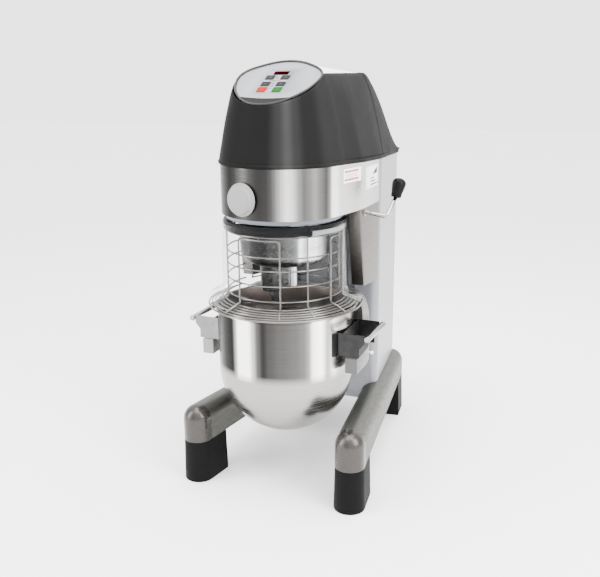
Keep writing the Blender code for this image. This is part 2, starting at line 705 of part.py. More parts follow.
def make_planetary(steel, cast, gear):
    """Turning drum with the spindle's housing, the two gears and the shafts."""
    wall = DRUM_WALL
    inset, low = DRUM_R - DRUM_EDGE, DRUM_BOTTOM + DRUM_EDGE
    turns = [math.radians(a) for a in (0, 22.5, 45, 67.5, 90)]
    profile = [(0.0, DRUM_BOTTOM)]
    profile += [(inset + DRUM_EDGE * math.sin(a), low - DRUM_EDGE * math.cos(a)) for a in turns]
    profile += [
        (DRUM_R, DRUM_TOP), (DRUM_R - wall, DRUM_TOP), (DRUM_R - wall, low + 0.004),
        (inset, DRUM_BOTTOM + 0.010), (0.030, DRUM_BOTTOM + 0.010), (0.030, DRUM_TOP), (0.0, DRUM_TOP),
    ]
    drum = make_object("planetary_drum", lathe(profile, 32), steel)
    centre = (SPINDLE_AXIS.x, SPINDLE_AXIS.y)
    housing = lathe_solid(SPINDLE_HOUSING_R, SPINDLE_HOUSING_BOTTOM, DRUM_TOP - 0.006, 20, centre)
    idler = lathe_solid(IDLER_R, IDLER_BOTTOM, DRUM_BOTTOM + 0.003, 12, IDLER_AT)
    bore = lathe_solid(SPINDLE_R + GAP, SPINDLE_TIP, DRUM_TOP + 0.01, 16, centre)
    boolean(drum, make_object("drum_spindle_housing", housing, steel), "UNION")
    boolean(drum, make_object("drum_idler_boss", idler, steel), "UNION")
    boolean(drum, make_object("drum_bore", bore, steel), "DIFFERENCE")
    low, high = SPINDLE_TIP, DRUM_TOP - 0.004
    tip = [(0.0, low), (0.004, low), (0.0062, low + 0.004), (0.0085, SPINDLE_HOUSING_BOTTOM - 0.008),
           (SPINDLE_R, SPINDLE_HOUSING_BOTTOM - 0.007), (SPINDLE_R, high), (0.0, high)]
    make_object("tool_spindle", lathe(tip, 16, centre), gear, SPINDLE_AXIS)
    pinion = prism(
        [(x + centre[0], y + centre[1]) for x, y in gear_outline(PINION_TEETH, MODULE * PINION_TEETH / 2)],
        GEAR_BOTTOM, GEAR_TOP,
    )
    make_object("planet_pinion", pinion, gear, SPINDLE_AXIS)
    pitch = MODULE * RING_TEETH / 2
    inner = gear_outline(RING_TEETH, pitch, True)
    outer = [(x * 0.108 / math.hypot(x, y), y * 0.108 / math.hypot(x, y)) for x, y in inner]
    bm = bmesh.new()
    loops = [
        [Vector((x, y, z)) for x, y in line]
        for line, z in ((inner, GEAR_BOTTOM), (outer, GEAR_BOTTOM), (outer, GEAR_TOP), (inner, GEAR_TOP))
    ]
    skin_loops(bm, loops)
    make_object("ring_gear", bm, gear)
    shaft = lathe_solid(MAIN_SHAFT_R, DRUM_TOP + GAP, PULLEY_Z - PULLEY_WIDTH / 2 - GAP, 20)
    make_object("main_shaft", shaft, gear)
    low, high = HOUSING_BOTTOM + 0.010, HOUSING_BOTTOM + 0.050
    ring = [(MAIN_SHAFT_R + GAP, low), (BEARING_R, low), (BEARING_R, high), (MAIN_SHAFT_R + GAP, high)]
    make_object("main_bearing", lathe(ring, 20), gear)


def pulley_profile(radius, hub, low, high):
    return [(hub, low), (radius, low), (radius - 0.005, (low + high) / 2), (radius, high), (hub, high)]


def make_drive(cast, black, motor_paint, gear):
    """Motor, its pulley, the large pulley on the main shaft and the belt round both."""
    low, high = PULLEY_Z - PULLEY_WIDTH / 2, PULLEY_Z + PULLEY_WIDTH / 2
    solid = [(0.0, low), (PULLEY_R, low), (PULLEY_R, high), (0.0, high)]
    make_object("large_pulley", lathe(solid, 32), cast)
    axis = (0.0, MOTOR_Y)
    small = [
        (0.0, MOTOR_TOP + 0.004), (0.012, MOTOR_TOP + 0.004), (0.012, low), (MOTOR_PULLEY_R, low),
        (MOTOR_PULLEY_R, high), (0.0, high),
    ]
    make_object("motor_pulley", lathe(small, 20, axis), gear, (0, MOTOR_Y, 0))
    body = [
        (0.0, MOTOR_BOTTOM), (MOTOR_R - 0.008, MOTOR_BOTTOM), (MOTOR_R, MOTOR_BOTTOM + 0.008),
        (MOTOR_R, MOTOR_TOP - 0.006), (0.060, MOTOR_TOP), (0.0, MOTOR_TOP),
    ]
    make_object("motor", lathe(body, 24, axis), motor_paint)
    bm = bmesh.new()
    loops = []
    for grow, z in (
        (0.0005, low + 0.003), (0.006, low + 0.003), (0.006, high - 0.003), (0.0005, high - 0.003),
    ):
        lean = math.asin((PULLEY_R - MOTOR_PULLEY_R) / MOTOR_Y)
        front = arc(PULLEY_R + grow, -math.pi / 2 - lean, math.pi / 2 + lean, 18)
        back = arc(MOTOR_PULLEY_R + grow, math.pi / 2 + lean, 3 * math.pi / 2 - lean, 10, axis)
        loops.append([Vector((x, y, z)) for x, y in front + back])
    skin_loops(bm, loops)
    make_object("drive_belt", bm, black)


def make_hub(steel, plastic):
    """Accessory hub on the head's front, turned a little to the left, and the cap that closes it."""
    turn = Matrix.Rotation(HUB_ANGLE, 4, "Z") @ Matrix.Translation((0, 0, HUB_Z)) @ Matrix.Rotation(
        math.radians(90), 4, "X",
    )
    face = HEAD_R + 0.0015
    back = HEAD_R - 0.0055
    boss = lathe([(0.017, back), (HUB_R, back), (HUB_R, face - GAP), (0.017, face - GAP)], 24)
    hole = lathe_solid(HUB_R + GAP, 0.150, 0.200, 24)
    cap = lathe([
        (0.0, face), (HUB_CAP_R, face), (HUB_CAP_R, face + 0.006), (HUB_CAP_R - 0.002, face + 0.008),
        (HUB_DISC_R + 0.001, face + 0.008), (HUB_DISC_R, face + 0.015),
        (HUB_DISC_R - 0.003, face + 0.018), (0.0, face + 0.0185),
    ], 32)
    for bm, name, material in (
        (boss, "hub_boss", steel), (cap, "hub_cap", plastic), (hole, "skin_hole", steel),
    ):
        bmesh.ops.transform(bm, matrix=turn, verts=bm.verts)
        pivot = turn @ Vector((0, 0, face)) if name == "hub_cap" else (0, 0, 0)
        make_object(name, bm, material, pivot)
    boolean(bpy.data.objects["head_skin"], bpy.data.objects["skin_hole"], "DIFFERENCE")


# ---------------------------------------------------------------- guard


def ring_sector(profile, start, end, steps):
    """A solid swept along part of a circle: the profile is a closed (radius, height) outline."""
    loops = []
    for i in range(steps + 1):
        a = start + (end - start) * i / steps
        loops.append([Vector((r * math.sin(a), -r * math.cos(a), z)) for r, z in profile])
    return loft(loops)


def square_wire(radius, z, size=WIRE_R):
    return [
        (radius - size, z - size), (radius + size, z - size), (radius + size, z + size),
        (radius - size, z + size),
    ]


def post_path(angle, flange, radius, top):
    """A post that comes straight down and, where there is a flange, bends out over its rings."""
    direction = Vector((math.sin(angle), -math.cos(angle), 0))
    points = [(radius, top), (radius, HOOP_HEIGHTS[-1] - WIRE_R * 1.2)]
    if flange:
        (first_r, first_z), (last_r, last_z) = flange[0], flange[-1]
        lift = WIRE_R * 1.6
        points = [
            (radius, top), (radius, first_z + 0.008), (radius + 0.004, first_z + lift + 0.0018),
            (last_r - 0.0005, last_z + lift + 0.0004),
        ]
    return [direction * r + Vector((0, 0, z)) for r, z in points]


def union_all(target, pieces):
    """Joins helper objects to target with one Boolean over their collection."""
    group = bpy.data.collections.new(f"{target.name}_wires")
    bpy.context.scene.collection.children.link(group)
    for piece in pieces:
        for old in list(piece.users_collection):
            old.objects.unlink(piece)
        group.objects.link(piece)
        piece.hide_render = True
        piece.display_type = "WIRE"
    modifier = target.modifiers.new("wires", "BOOLEAN")
    modifier.operation = "UNION"
    modifier.solver = "EXACT"
    modifier.operand_type = "COLLECTION"
    modifier.collection = group


def make_cage(name, start, end, radius, hoops, posts, flange, wire, top):
    """Hoops and flange rings welded to posts, as one solid."""
    steps = max(6, round((end - start) / math.radians(13)))
    first = make_object(name, ring_sector(square_wire(radius - 0.0025, hoops[0]), start, end, steps), wire)
    pieces = []
    for i, z in enumerate(hoops[1:]):
        pieces.append(
            make_object(
                f"{name}_hoop_{i}", ring_sector(square_wire(radius - 0.0025, z), start, end, steps), wire,
            )
        )
    for i, (r, z) in enumerate(flange):
        pieces.append(
            make_object(f"{name}_flange_{i}", ring_sector(square_wire(r, z), start, end, steps), wire)
        )
    for i, angle in enumerate(posts):
        path = post_path(math.radians(angle), flange, radius, top)
        pieces.append(make_object(f"{name}_post_{i}", bar(path, WIRE_R * 1.15, 6), wire))
    union_all(first, pieces)


def make_guard(wire, black, clear):
    """The turning front part and the fixed rear part, which nests inside it."""
    ring = [
        (GUARD_INNER, GUARD_RING_BOTTOM), (GUARD_R, GUARD_RING_BOTTOM), (GUARD_R, GUARD_TOP),
        (GUARD_INNER, GUARD_TOP),
    ]
    make_object("guard_ring_front", ring_sector(ring, -GUARD_END, GUARD_END, 22), black)
    flange = list(zip(FLANGE_RADII, FLANGE_HEIGHTS))
    make_cage(
        "guard_cage_front", -GUARD_END, GUARD_END, POST_R, HOOP_HEIGHTS, POST_ANGLES, flange, wire,
        GUARD_RING_BOTTOM - GAP,
    )
    outside = [(r + SHIELD_WALL, z) for r, z in SHIELD_PROFILE[:-1]]
    outside.append((SHIELD_PROFILE[-1][0] + 0.0003, SHIELD_PROFILE[-1][1] + SHIELD_WALL))
    shield = list(SHIELD_PROFILE) + outside[::-1]
    make_object("clear_shield", ring_sector(shield, -GUARD_END, GUARD_END, 22), clear)
    span = REAR_GUARD_SPAN
    rear = [(0.138, GUARD_RING_BOTTOM), (0.149, GUARD_RING_BOTTOM), (0.149, GUARD_TOP), (0.138, GUARD_TOP)]
    make_object("guard_ring_rear", ring_sector(rear, math.pi - span, math.pi + span, 12), black)
    angles = [180 - math.degrees(span) + 2, 148, 180, 212, 180 + math.degrees(span) - 2]
    make_cage(
        "guard_cage_rear", math.pi - span, math.pi + span, REAR_GUARD_R, HOOP_HEIGHTS, angles, [], wire,
        GUARD_RING_BOTTOM - GAP,
    )


# ---------------------------------------------------------------- bowl


def bowl_profile():
    """Outer side from the bottom to the rolled rim, then back down the inside."""
    outer, inner = [(0.0, BOWL_CENTRE_Z - BOWL_R)], []
    steps = 8
    for i in range(1, steps + 1):
        a = math.pi / 2 * i / steps
        outer.append((BOWL_R * math.sin(a), BOWL_CENTRE_Z - BOWL_R * math.cos(a)))
        inside = BOWL_R - BOWL_WALL
        inner.append((inside * math.sin(a), BOWL_CENTRE_Z - inside * math.cos(a)))
    rim = [
        (BOWL_R, BOWL_RIM_Z - RIM_HEIGHT), (RIM_R - 0.002, BOWL_RIM_Z - RIM_HEIGHT),
        (RIM_R, BOWL_RIM_Z - RIM_HEIGHT + 0.002), (RIM_R, BOWL_RIM_Z - 0.002),
        (RIM_R - 0.002, BOWL_RIM_Z), (BOWL_R - BOWL_WALL, BOWL_RIM_Z),
    ]
    bottom = [(0.0, BOWL_CENTRE_Z - BOWL_R + BOWL_WALL)]
    return outer + rim + inner[::-1] + bottom


def make_bowl(steel, dark_steel, chrome):
    make_object("bowl", lathe(bowl_profile(), 36), steel)
    for side, sign in (("right", 1), ("left", -1)):
        make_object(f"bowl_bracket_{side}", bracket_mesh(sign), dark_steel)
        handle = bar(
            [
                (sign * HANDLE_X, -BRACKET_Y + 0.0005, HANDLE_Z),
                (sign * HANDLE_X, BRACKET_Y + 0.004, HANDLE_Z),
            ],
            HANDLE_R, 12,
        )
        make_object(f"bowl_handle_{side}", handle, chrome)


def bracket_mesh(sign):
    """Folded bracket: an outline in plan gives the strip on the bowl and the two ears; the ears'
    outer corners are cut back below the handle."""
    gap = HANDLE_R + 0.0006
    ear_x = HANDLE_X - gap
    strip_x = math.sqrt((BOWL_R + 0.0008) ** 2) + 0.0012
    bm = bmesh.new()
    ears = []
    for y0, y1 in ((-BRACKET_Y + 0.0008, -BRACKET_Y + 0.0008 + PLATE), (BRACKET_Y - PLATE, BRACKET_Y)):
        outline = [
            (strip_x, BRACKET_BOTTOM), (BRACKET_OUTER, BRACKET_BOTTOM), (BRACKET_OUTER, 0.440),
            (ear_x, 0.456), (ear_x, BRACKET_TOP), (strip_x, BRACKET_TOP),
        ]
        ears.append([[bm.verts.new((sign * x, y, z)) for x, z in outline] for y in (y0, y1)])
    for front, back in ears:
        count = len(front)
        for i in range(count - 1):
            bm.faces.new((front[i], front[i + 1], back[i + 1], back[i]))
    (f0, f1), (r0, r1) = ears
    bm.faces.new(f0)
    bm.faces.new(r1)
    strip = strip_x + PLATE
    inner_front = [bm.verts.new((sign * strip, f1[0].co.y, z)) for z in (BRACKET_BOTTOM, BRACKET_TOP)]
    inner_rear = [bm.verts.new((sign * strip, r0[0].co.y, z)) for z in (BRACKET_BOTTOM, BRACKET_TOP)]
    for verts in (f1, r0):
        pair = inner_front if verts is f1 else inner_rear
        bm.faces.new([pair[0]] + verts[1:5] + [pair[1]])
    bm.faces.new(inner_front + inner_rear[::-1])
    for level, index in ((0, 0), (1, 5)):
        bm.faces.new((f1[index], inner_front[level], inner_rear[level], r0[index]))
        bm.faces.new((f1[index], inner_front[level], f1[1 if level == 0 else 4]))
        bm.faces.new((r0[index], inner_rear[level], r0[1 if level == 0 else 4]))
    bm.faces.new((f0[0], f0[5], r1[5], r1[0]))
    bm.faces.new((f0[0], f1[0], r0[0], r1[0]))
    bm.faces.new((f0[5], f1[5], r0[5], r1[5]))
    bmesh.ops.remove_doubles(bm, verts=bm.verts, dist=1e-7)
    return bm


# ---------------------------------------------------------------- yoke, carriage and lever


def yoke_top(y):
    """The arms stay low under the bracket's rear ear, then rise to the carriage."""
    for (y0, z0), (y1, z1) in zip(YOKE_RISE, YOKE_RISE[1:]):
        if y <= y1:
            return z0 + (z1 - z0) * max(0.0, y - y0) / (y1 - y0)
    return YOKE_RISE[-1][1]


def make_yoke(hammered, steel):
    """U-shaped arm round the back of the bowl, and the carriage plate that runs on two guide bars."""
    turns = [
        math.asin(y / YOKE_OUTER) for y in (0.040, 0.0770, 0.080, 0.094, 0.131, 0.163, 0.190, 0.212, 0.226)
    ]
    half_outer = [(YOKE_OUTER, YOKE_FRONT), (YOKE_OUTER, 0.0)]
    half_inner = [(YOKE_INNER, YOKE_FRONT), (YOKE_CLEAR_R - 0.008, 0.0)]
    for turn in turns + [math.pi / 2]:
        half_outer.append((YOKE_OUTER * math.cos(turn), YOKE_OUTER * math.sin(turn)))
        half_inner.append((YOKE_CLEAR_R * math.cos(turn), YOKE_CLEAR_R * math.sin(turn)))
    plan = half_outer + [(-x, y) for x, y in reversed(half_outer[:-1])]
    inner = half_inner + [(-x, y) for x, y in reversed(half_inner[:-1])]
    bm = bmesh.new()
    rows = []
    for line, level in ((plan, None), (plan, YOKE_BOTTOM), (inner, YOKE_BOTTOM), (inner, None)):
        rows.append([
            bm.verts.new((x, y, yoke_top(outer_y) if level is None else level))
            for (x, y), (_, outer_y) in zip(line, plan)
        ])
    for a, b in zip(rows, rows[1:] + rows[:1]):
        for i in range(len(plan) - 1):
            bm.faces.new((a[i], a[i + 1], b[i + 1], b[i]))
    for end in (0, -1):
        bm.faces.new([row[end] for row in rows])
    yoke = make_object("bowl_yoke", bm, hammered)
    face = COLUMN_FRONT - GUIDE_DEPTH - 0.001
    back_cut = make_object("yoke_back_cut", box((-0.3, 0.2140 + 0.010, 0.30), (0.3, 0.30, 0.60)), hammered)
    boolean(yoke, back_cut, "DIFFERENCE")
    plate = box(
        (-CARRIAGE_HALF, 0.2243, CARRIAGE_BOTTOM), (CARRIAGE_HALF, COLUMN_FRONT - 0.0008, CARRIAGE_TOP),
    )
    carriage = make_object("lift_carriage", plate, steel)
    for i, sign in enumerate((1, -1)):
        low = (sign * GUIDE_X - GUIDE_HALF - 0.0005, face - 0.0005 + 0.001, 0.2)
        high = (sign * GUIDE_X + GUIDE_HALF + 0.0005, COLUMN_FRONT + 0.002, 0.7)
        boolean(carriage, make_object(f"carriage_groove_{i}", box(low, high), steel), "DIFFERENCE")
    for side, sign in (("right", 1), ("left", -1)):
        low = (sign * GUIDE_X - GUIDE_HALF, face + 0.001, GUIDE_BOTTOM)
        high = (sign * GUIDE_X + GUIDE_HALF, COLUMN_FRONT - GAP, GUIDE_TOP)
        make_object(f"guide_bar_{side}", box(low, high), steel)


def make_lever(chrome, black, steel):
    """Bent rod through the right cheek, its grip, the crank inside and the lift rod on the carriage."""
    inner = Vector((0.176, LEVER_PIVOT.y, LEVER_PIVOT.z))
    path = [
        inner, Vector((0.198, LEVER_PIVOT.y, LEVER_PIVOT.z)), LEVER_BEND - Vector((0.008, 0, -0.001)),
        LEVER_BEND + Vector((0.001, 0.004, 0.004)), GRIP_BASE,
    ]
    rod = make_object("lever_rod", bar(path, LEVER_ROD_R, 10), chrome, LEVER_PIVOT)
    side, sign = "right", 1
    hole = bar(
        [(0.17, LEVER_PIVOT.y, LEVER_PIVOT.z), (0.24, LEVER_PIVOT.y, LEVER_PIVOT.z)], LEVER_ROD_R + 0.0008,
        12,
    )
    boolean(bpy.data.objects[f"neck_cheek_{side}"], make_object("cheek_hole", hole, steel), "DIFFERENCE")
    axis = (GRIP_TOP - GRIP_BASE).normalized()
    start = GRIP_BASE + axis * 0.0028
    length = (GRIP_TOP - start).length
    grip = lathe(
        [
            (0.0, 0.0), (0.0095, 0.0), (0.0115, 0.003), (0.0162, length * 0.50), (0.0190, length * 0.74),
            (0.0160, length * 0.91), (0.0085, length), (0.0, length + 0.001),
        ],
        16,
    )
    turn = axis.to_track_quat("Z", "Y").to_matrix().to_4x4()
    bmesh.ops.transform(grip, matrix=Matrix.Translation(start) @ turn, verts=grip.verts)
    make_object("lever_grip", grip, black, LEVER_PIVOT)


def make_cable_gland(black):
    """Inlet of the mains lead, low on the rear cover."""
    gland = lathe(
        [(0.006, 0.0), (0.014, 0.0), (0.014, 0.006), (0.010, 0.008), (0.009, 0.022), (0.006, 0.022)], 16,
    )
    turn = Matrix.Translation(
        (0.070, COLUMN_REAR + GAP, 0.290)
    ) @ Matrix.Rotation(math.radians(-90), 4, "X")
    bmesh.ops.transform(gland, matrix=turn, verts=gland.verts)
    make_object("cable_gland", gland, black)


def main():
    clear_scene()
    axis = bpy.data.objects.new("bowl_axis", None)
    axis.location = (AXIS_X, AXIS_Y, 0)
    bpy.context.scene.collection.objects.link(axis)
    steel = make_material("brushed_steel", (0.62, 0.60, 0.58), 0.32, 1.0)
    chrome = make_material("chrome", (0.80, 0.78, 0.76), 0.12, 1.0)
    dark_steel = make_material("bracket_steel", (0.30, 0.30, 0.30), 0.45, 0.9)
    wire = make_material("wire", (0.72, 0.68, 0.65), 0.22, 1.0)
    satin = make_material("satin_tube", (0.40, 0.40, 0.37), 0.42, 0.7)
    cast = make_material("cast_cap", (0.36, 0.34, 0.32), 0.40, 0.8)
    housing = make_material("cast_aluminium", (0.55, 0.55, 0.56), 0.5, 0.9)
    rubber = make_material("foot_rubber", (0.03, 0.03, 0.03), 0.6)
    paint = make_material("column_paint", (0.50, 0.52, 0.55), 0.35)
    hammered = make_material("hammered_paint", (0.62, 0.62, 0.61), 0.45, 0.2)
    plastic = make_material("hood_plastic", (0.055, 0.055, 0.055), 0.42)
    light = make_material("cover_plastic", (0.72, 0.72, 0.74), 0.4)
    face = make_material("panel_face", (0.60, 0.61, 0.64), 0.45)
    glass = make_material("display_glass", (0.18, 0.01, 0.01), 0.1)
    black = make_material("black_plastic", (0.02, 0.02, 0.02), 0.45)
    cap = make_material("hub_cap_plastic", (0.53, 0.51, 0.51), 0.45)
    clear = make_material("clear_plastic", (0.9, 0.9, 0.9), 0.05, 0.0, 0.2)
    gear = make_material("machined_steel", (0.55, 0.55, 0.55), 0.3, 1.0)
    motor = make_material("motor_paint", (0.10, 0.14, 0.20), 0.5)
    grey_key = make_material("key_grey", (0.08, 0.08, 0.085), 0.5)
    red_key = make_material("key_red", (0.85, 0.12, 0.03), 0.45)
    green_key = make_material("key_green", (0.0, 0.42, 0.12), 0.45)
    keys = {name: grey_key for row in KEY_NAMES for name in row}
    keys.update(stop=red_key, start=green_key)
    make_base(satin, cast, rubber, paint)
    make_column(paint)
    make_head_skin(steel)
    make_head_ring(paint)
    make_housing(housing)
    make_hood(plastic)
    make_rear_hood(plastic)
    make_top_cover(light)
    make_panel(face, plastic, glass, keys)
    make_planetary(steel, housing, gear)
    make_drive(housing, black, motor, gear)
    make_hub(steel, cap)
    make_guard(wire, black, clear)
    make_bowl(steel, dark_steel, chrome)
    make_yoke(hammered, gear)
    make_lever(chrome, black, gear)
    make_cable_gland(black)


main()
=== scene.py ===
"""Looks of the floor mixer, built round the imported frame. Metres; coordinates are measured from the
point of the floor under the bowl's axis, and every piece is then moved to that point of the frame."""

from math import acos, asin, cos, degrees, exp, hypot, pi, radians, sin, sqrt, tan

import bmesh
import bpy
from mathutils import Matrix, Vector


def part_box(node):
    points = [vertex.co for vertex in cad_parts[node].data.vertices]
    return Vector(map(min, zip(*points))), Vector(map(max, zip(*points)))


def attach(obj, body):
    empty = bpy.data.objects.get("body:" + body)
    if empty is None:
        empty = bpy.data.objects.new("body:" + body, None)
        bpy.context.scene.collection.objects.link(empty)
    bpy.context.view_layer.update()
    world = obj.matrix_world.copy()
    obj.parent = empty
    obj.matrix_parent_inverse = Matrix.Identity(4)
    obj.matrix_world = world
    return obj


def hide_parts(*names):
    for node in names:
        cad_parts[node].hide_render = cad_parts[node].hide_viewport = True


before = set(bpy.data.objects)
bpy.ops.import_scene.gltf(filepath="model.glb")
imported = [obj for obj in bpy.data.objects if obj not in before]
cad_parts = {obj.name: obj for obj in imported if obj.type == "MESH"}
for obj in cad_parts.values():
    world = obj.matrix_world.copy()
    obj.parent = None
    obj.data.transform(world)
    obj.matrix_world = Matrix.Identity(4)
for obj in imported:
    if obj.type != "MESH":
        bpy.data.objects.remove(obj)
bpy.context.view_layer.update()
bowl_low, bowl_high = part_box("bowl")
ORIGIN = Vector(((bowl_low.x + bowl_high.x) / 2, (bowl_low.y + bowl_high.y) / 2, 0))

SIDES = (("right", 1), ("left", -1))

# Sizes shared with the solids.
RAIL_X, RAIL_Y, RAIL_ANGLE = 0.231, -0.114, radians(7.45)
RAIL_LENGTH, RAIL_R, RAIL_WALL = 0.692, 0.0405, 0.004
RAIL_BOTTOM, RAIL_AXIS_Z, RAIL_FALL = 0.123, 0.185, 0.015
CAP_LENGTH, FOOT_LENGTH, JOINT = 0.012, 0.08, 0.0006  # the last is the gap beside each cap
COLUMN_FRONT, COLUMN_REAR = 0.24, 0.568
HEAD_R, HEAD_BOTTOM, HEAD_TOP = 0.168, 0.78, 0.9096
NECK_HALF, NECK_Y = 0.19, 0.072
HOOD_SEAM, HOOD_REAR, HOOD_TOP_Z, HOOD_TOP_HALF = 0.3, 0.572, 1.135, 0.113
HOOD_FALL = 0.042
HOOD_PROFILE = (
    (0.91, 0.168), (0.9104, 0.17), (0.912, 0.1716), (0.9145, 0.1722), (0.917, 0.1716), (0.919, 0.1702),
    (0.9202, 0.169), (0.9215, 0.1692), (0.928, 0.1684), (0.94, 0.166), (0.96, 0.162), (0.982, 0.158),
    (1.004, 0.154), (1.03, 0.1482), (1.056, 0.142), (1.075, 0.1374), (1.09, 0.133), (1.104, 0.128),
    (1.115, 0.1232), (1.126, 0.1178), (1.135, 0.113),
)
HOOD_BASE = HOOD_PROFILE[7][0]  # level where the rolled rim ends
NECK_LEAN, NECK_CORNER = radians(11.9), 0.087  # the neck's flat side leaves the round front
PANEL_TILT, PANEL_CENTRE, PANEL_R = radians(28.4), Vector((0.0, -0.0433, 1.1139)), 0.1095
DISPLAY = (-0.0027, 0.0482, 0.0415, 0.0185)
KEYS = {
    name: (x, up, *size)
    for up, size, names in (
        (0.0255, (0.0235, 0.0215), ("timer", "display")), (-0.0078, (0.0235, 0.0215), ("minus", "plus")),
        (-0.0352, (0.024, 0.0245), ("stop", "start")),
    )
    for x, name in zip((-0.0257, 0.0165), names)
}
HUB_ANGLE, HUB_Z, HUB_CAP_R, HUB_DISC_R = radians(-14.5), 0.8315, 0.0425, 0.037
BOWL_R, BOWL_WALL, BOWL_CENTRE_Z, BOWL_RIM_Z = 0.188, 0.0022, 0.345, 0.527
POST_R, WIRE = 0.159, 0.0021
HOOPS = (0.736, 0.6835, 0.649, 0.609, 0.568)
FLANGE = (
    (0.165, 0.549), (0.1745, 0.5456), (0.1835, 0.542), (0.193, 0.5388), (0.202, 0.5354), (0.2105, 0.532),
)
GUARD_END, REAR_GUARD = radians(109), 1.152  # half the angle that each half of the guard spans


# ---------------------------------------------------------------- materials


def node(tree, kind, *sources, **values):
    """Adds a node, feeds its first inputs, and sets properties and inputs by their names."""
    made = tree.nodes.new("ShaderNode" + kind)
    for key, value in values.items():
        if hasattr(made, key):
            setattr(made, key, value)
        else:
            made.inputs[key.replace("_", " ")].default_value = value
    for source, target in zip(sources, made.inputs):
        tree.links.new(source, target)
    return made


def scaled(colour, share):
    return tuple(min(1.0, c * share) for c in colour)


class Look:
    """A Principled material whose colour, roughness and bump come from layers of procedural noise; some
    also have painted reflections and shade in their colour.
    """

    def __init__(self, name, colour, roughness, metallic=0.0, **sockets):
        self.material = bpy.data.materials.new(name)
        self.material.use_nodes = True
        self.material.diffuse_color = (*colour, 1)
        self.tree = self.material.node_tree
        self.shader = self.tree.nodes["Principled BSDF"].inputs
        for key, value in dict(sockets, Roughness=roughness, Metallic=metallic).items():
            self.shader[key.replace("_", " ")].default_value = value
        self.place = self.add("TexCoord").outputs["Object"]
        self.colour = (*colour, 1)

    def add(self, kind, *sources, **values):
        return node(self.tree, kind, *sources, **values)

    def link(self, source, target):
        self.tree.links.new(source, target)

    def noise(self, scale, stretch=(1, 1, 1), detail=4.0):
        mapping = self.add("Mapping", self.place, Scale=stretch)
        values = {"Scale": scale, "Detail": detail, "Roughness": 0.6}
        return self.add("TexNoise", mapping.outputs[0], **values).outputs["Fac"]

    def remap(self, source, low, high, start=0.3, end=0.7):
        values = {"From_Min": start, "From_Max": end, "To_Min": low, "To_Max": high}
        return self.add("MapRange", source, **values).outputs["Result"]

    def mixed(self, factor, first, second, blend="MIX"):
        """A mix of two colours; each argument is a socket or a value."""
        mix = self.add("Mix", data_type="RGBA", blend_type=blend)
        for index, value in ((0, factor), (6, first), (7, second)):
            if isinstance(value, bpy.types.NodeSocket):
                self.link(value, mix.inputs[index])
            else:
                mix.inputs[index].default_value = value
        return mix.outputs[2]

    def paint(self, colour):
        self.colour = colour
        self.link(colour, self.shader["Base Color"])

    def tint(self, source, other, share=1.0, start=0.3, end=0.7):
        """Mixes another colour over the present one where the source is high."""
        self.paint(self.mixed(self.remap(source, 0.0, share, start, end), self.colour, (*other, 1)))

    def bands(self, stops, foot=None):
        """Paints reflections and shade into the colour: multiplies it by a ramp round the bowl's axis; a
        stop is an azimuth and a share.
        Below the two heights of the foot the ramp gives way to a single share, its third value."""
        centred = self.add("VectorMath", self.place, operation="SUBTRACT")
        centred.inputs[1].default_value = ORIGIN
        split = self.add("SeparateXYZ", centred.outputs[0]).outputs
        back = self.add("Math", split["Y"], operation="MULTIPLY")
        back.inputs[1].default_value = -1.0
        turn = self.add("Math", split["X"], back.outputs[0], operation="ARCTAN2")
        share = self.remap(turn.outputs[0], 0.0, 1.0, -pi, pi)
        ramp = self.add("ValToRGB", share)
        ramp.color_ramp.interpolation = "EASE"
        points = [(-180, stops[-1][1])] + list(stops)
        while len(ramp.color_ramp.elements) < len(points):
            ramp.color_ramp.elements.new(0.5)
        for element, (azimuth, value) in zip(ramp.color_ramp.elements, points):
            element.position = 0.5 + azimuth / 360
            element.color = (value, value, value, 1)
        strength = ramp.outputs["Color"]
        if foot:
            low, high, value = foot
            strength = self.mixed(
                self.remap(split["Z"], 0.0, 1.0, low, high), (value, value, value, 1), strength,
            )
        # the painted bands also set the specular tint, so the grazing reflection dims in the painted dark
        # bands
        self.link(self.remap(strength, *PAINTED_BAND_EDGE_TINT), self.shader["Specular Tint"])
        self.paint(self.mixed(1.0, self.colour, strength, "MULTIPLY"))

    def finish(self, rough, low, high, bump=None, strength=0.0, distance=0.001):
        """Roughness from one layer, between two values, and bump from another."""
        self.link(self.remap(rough, low, high), self.shader["Roughness"])
        if bump:
            made = self.add("Bump", Strength=strength, Distance=distance)
            self.link(bump, made.inputs["Height"])
            self.link(made.outputs["Normal"], self.shader["Normal"])
        return self.material


def brushed(name, colour, roughness, stretch, dark, bump=0.1, bands=(), foot=None):
    """Steel with fine parallel lines; stretch is large across the lines."""
    look = Look(name, colour, roughness, 1.0)
    lines, broad = look.noise(1.0, stretch, 6.0), look.noise(6.0, detail=3.0)
    look.tint(lines, dark, 0.55)
    look.tint(broad, scaled(colour, 0.9), 0.35)
    # painted reflections and shade, multiplied into the steel's colour round the bowl's axis
    if bands:
        look.bands(bands, foot)
    return look.finish(lines, roughness * 0.75, roughness * 1.35, lines, bump, 0.0004)


def plastic(name, colour, roughness, grain=900.0, bump=0.06, spread=0.12, shine=0.5, bands=()):
    look = Look(name, colour, roughness, Specular_IOR_Level=shine)
    fine, broad = look.noise(grain, detail=2.0), look.noise(9.0, detail=3.0)
    look.tint(broad, scaled(colour, 1 + spread), 0.8)
    look.tint(fine, scaled(colour, 1 - spread), 0.5)
    # painted highlight, multiplied into the plastic's colour round the bowl's axis
    if bands:
        look.bands(bands)
    return look.finish(broad, roughness * 0.88, roughness * 1.12, fine, bump, 0.0004)


def painted(name, colour, roughness, flake=0.0, peel=0.05, metallic=0.0):
    look = Look(name, colour, roughness, metallic, Coat_Weight=0.15)
    ripple, grain, broad = look.noise(240.0, detail=2.0), look.noise(1400.0, detail=1.0), look.noise(5.0)
    look.tint(broad, scaled(colour, 0.94), 0.6)
    look.tint(grain, scaled(colour, 1 + flake), 0.7)
    return look.finish(ripple, roughness * 0.85, roughness * 1.2, ripple, peel, 0.0006)


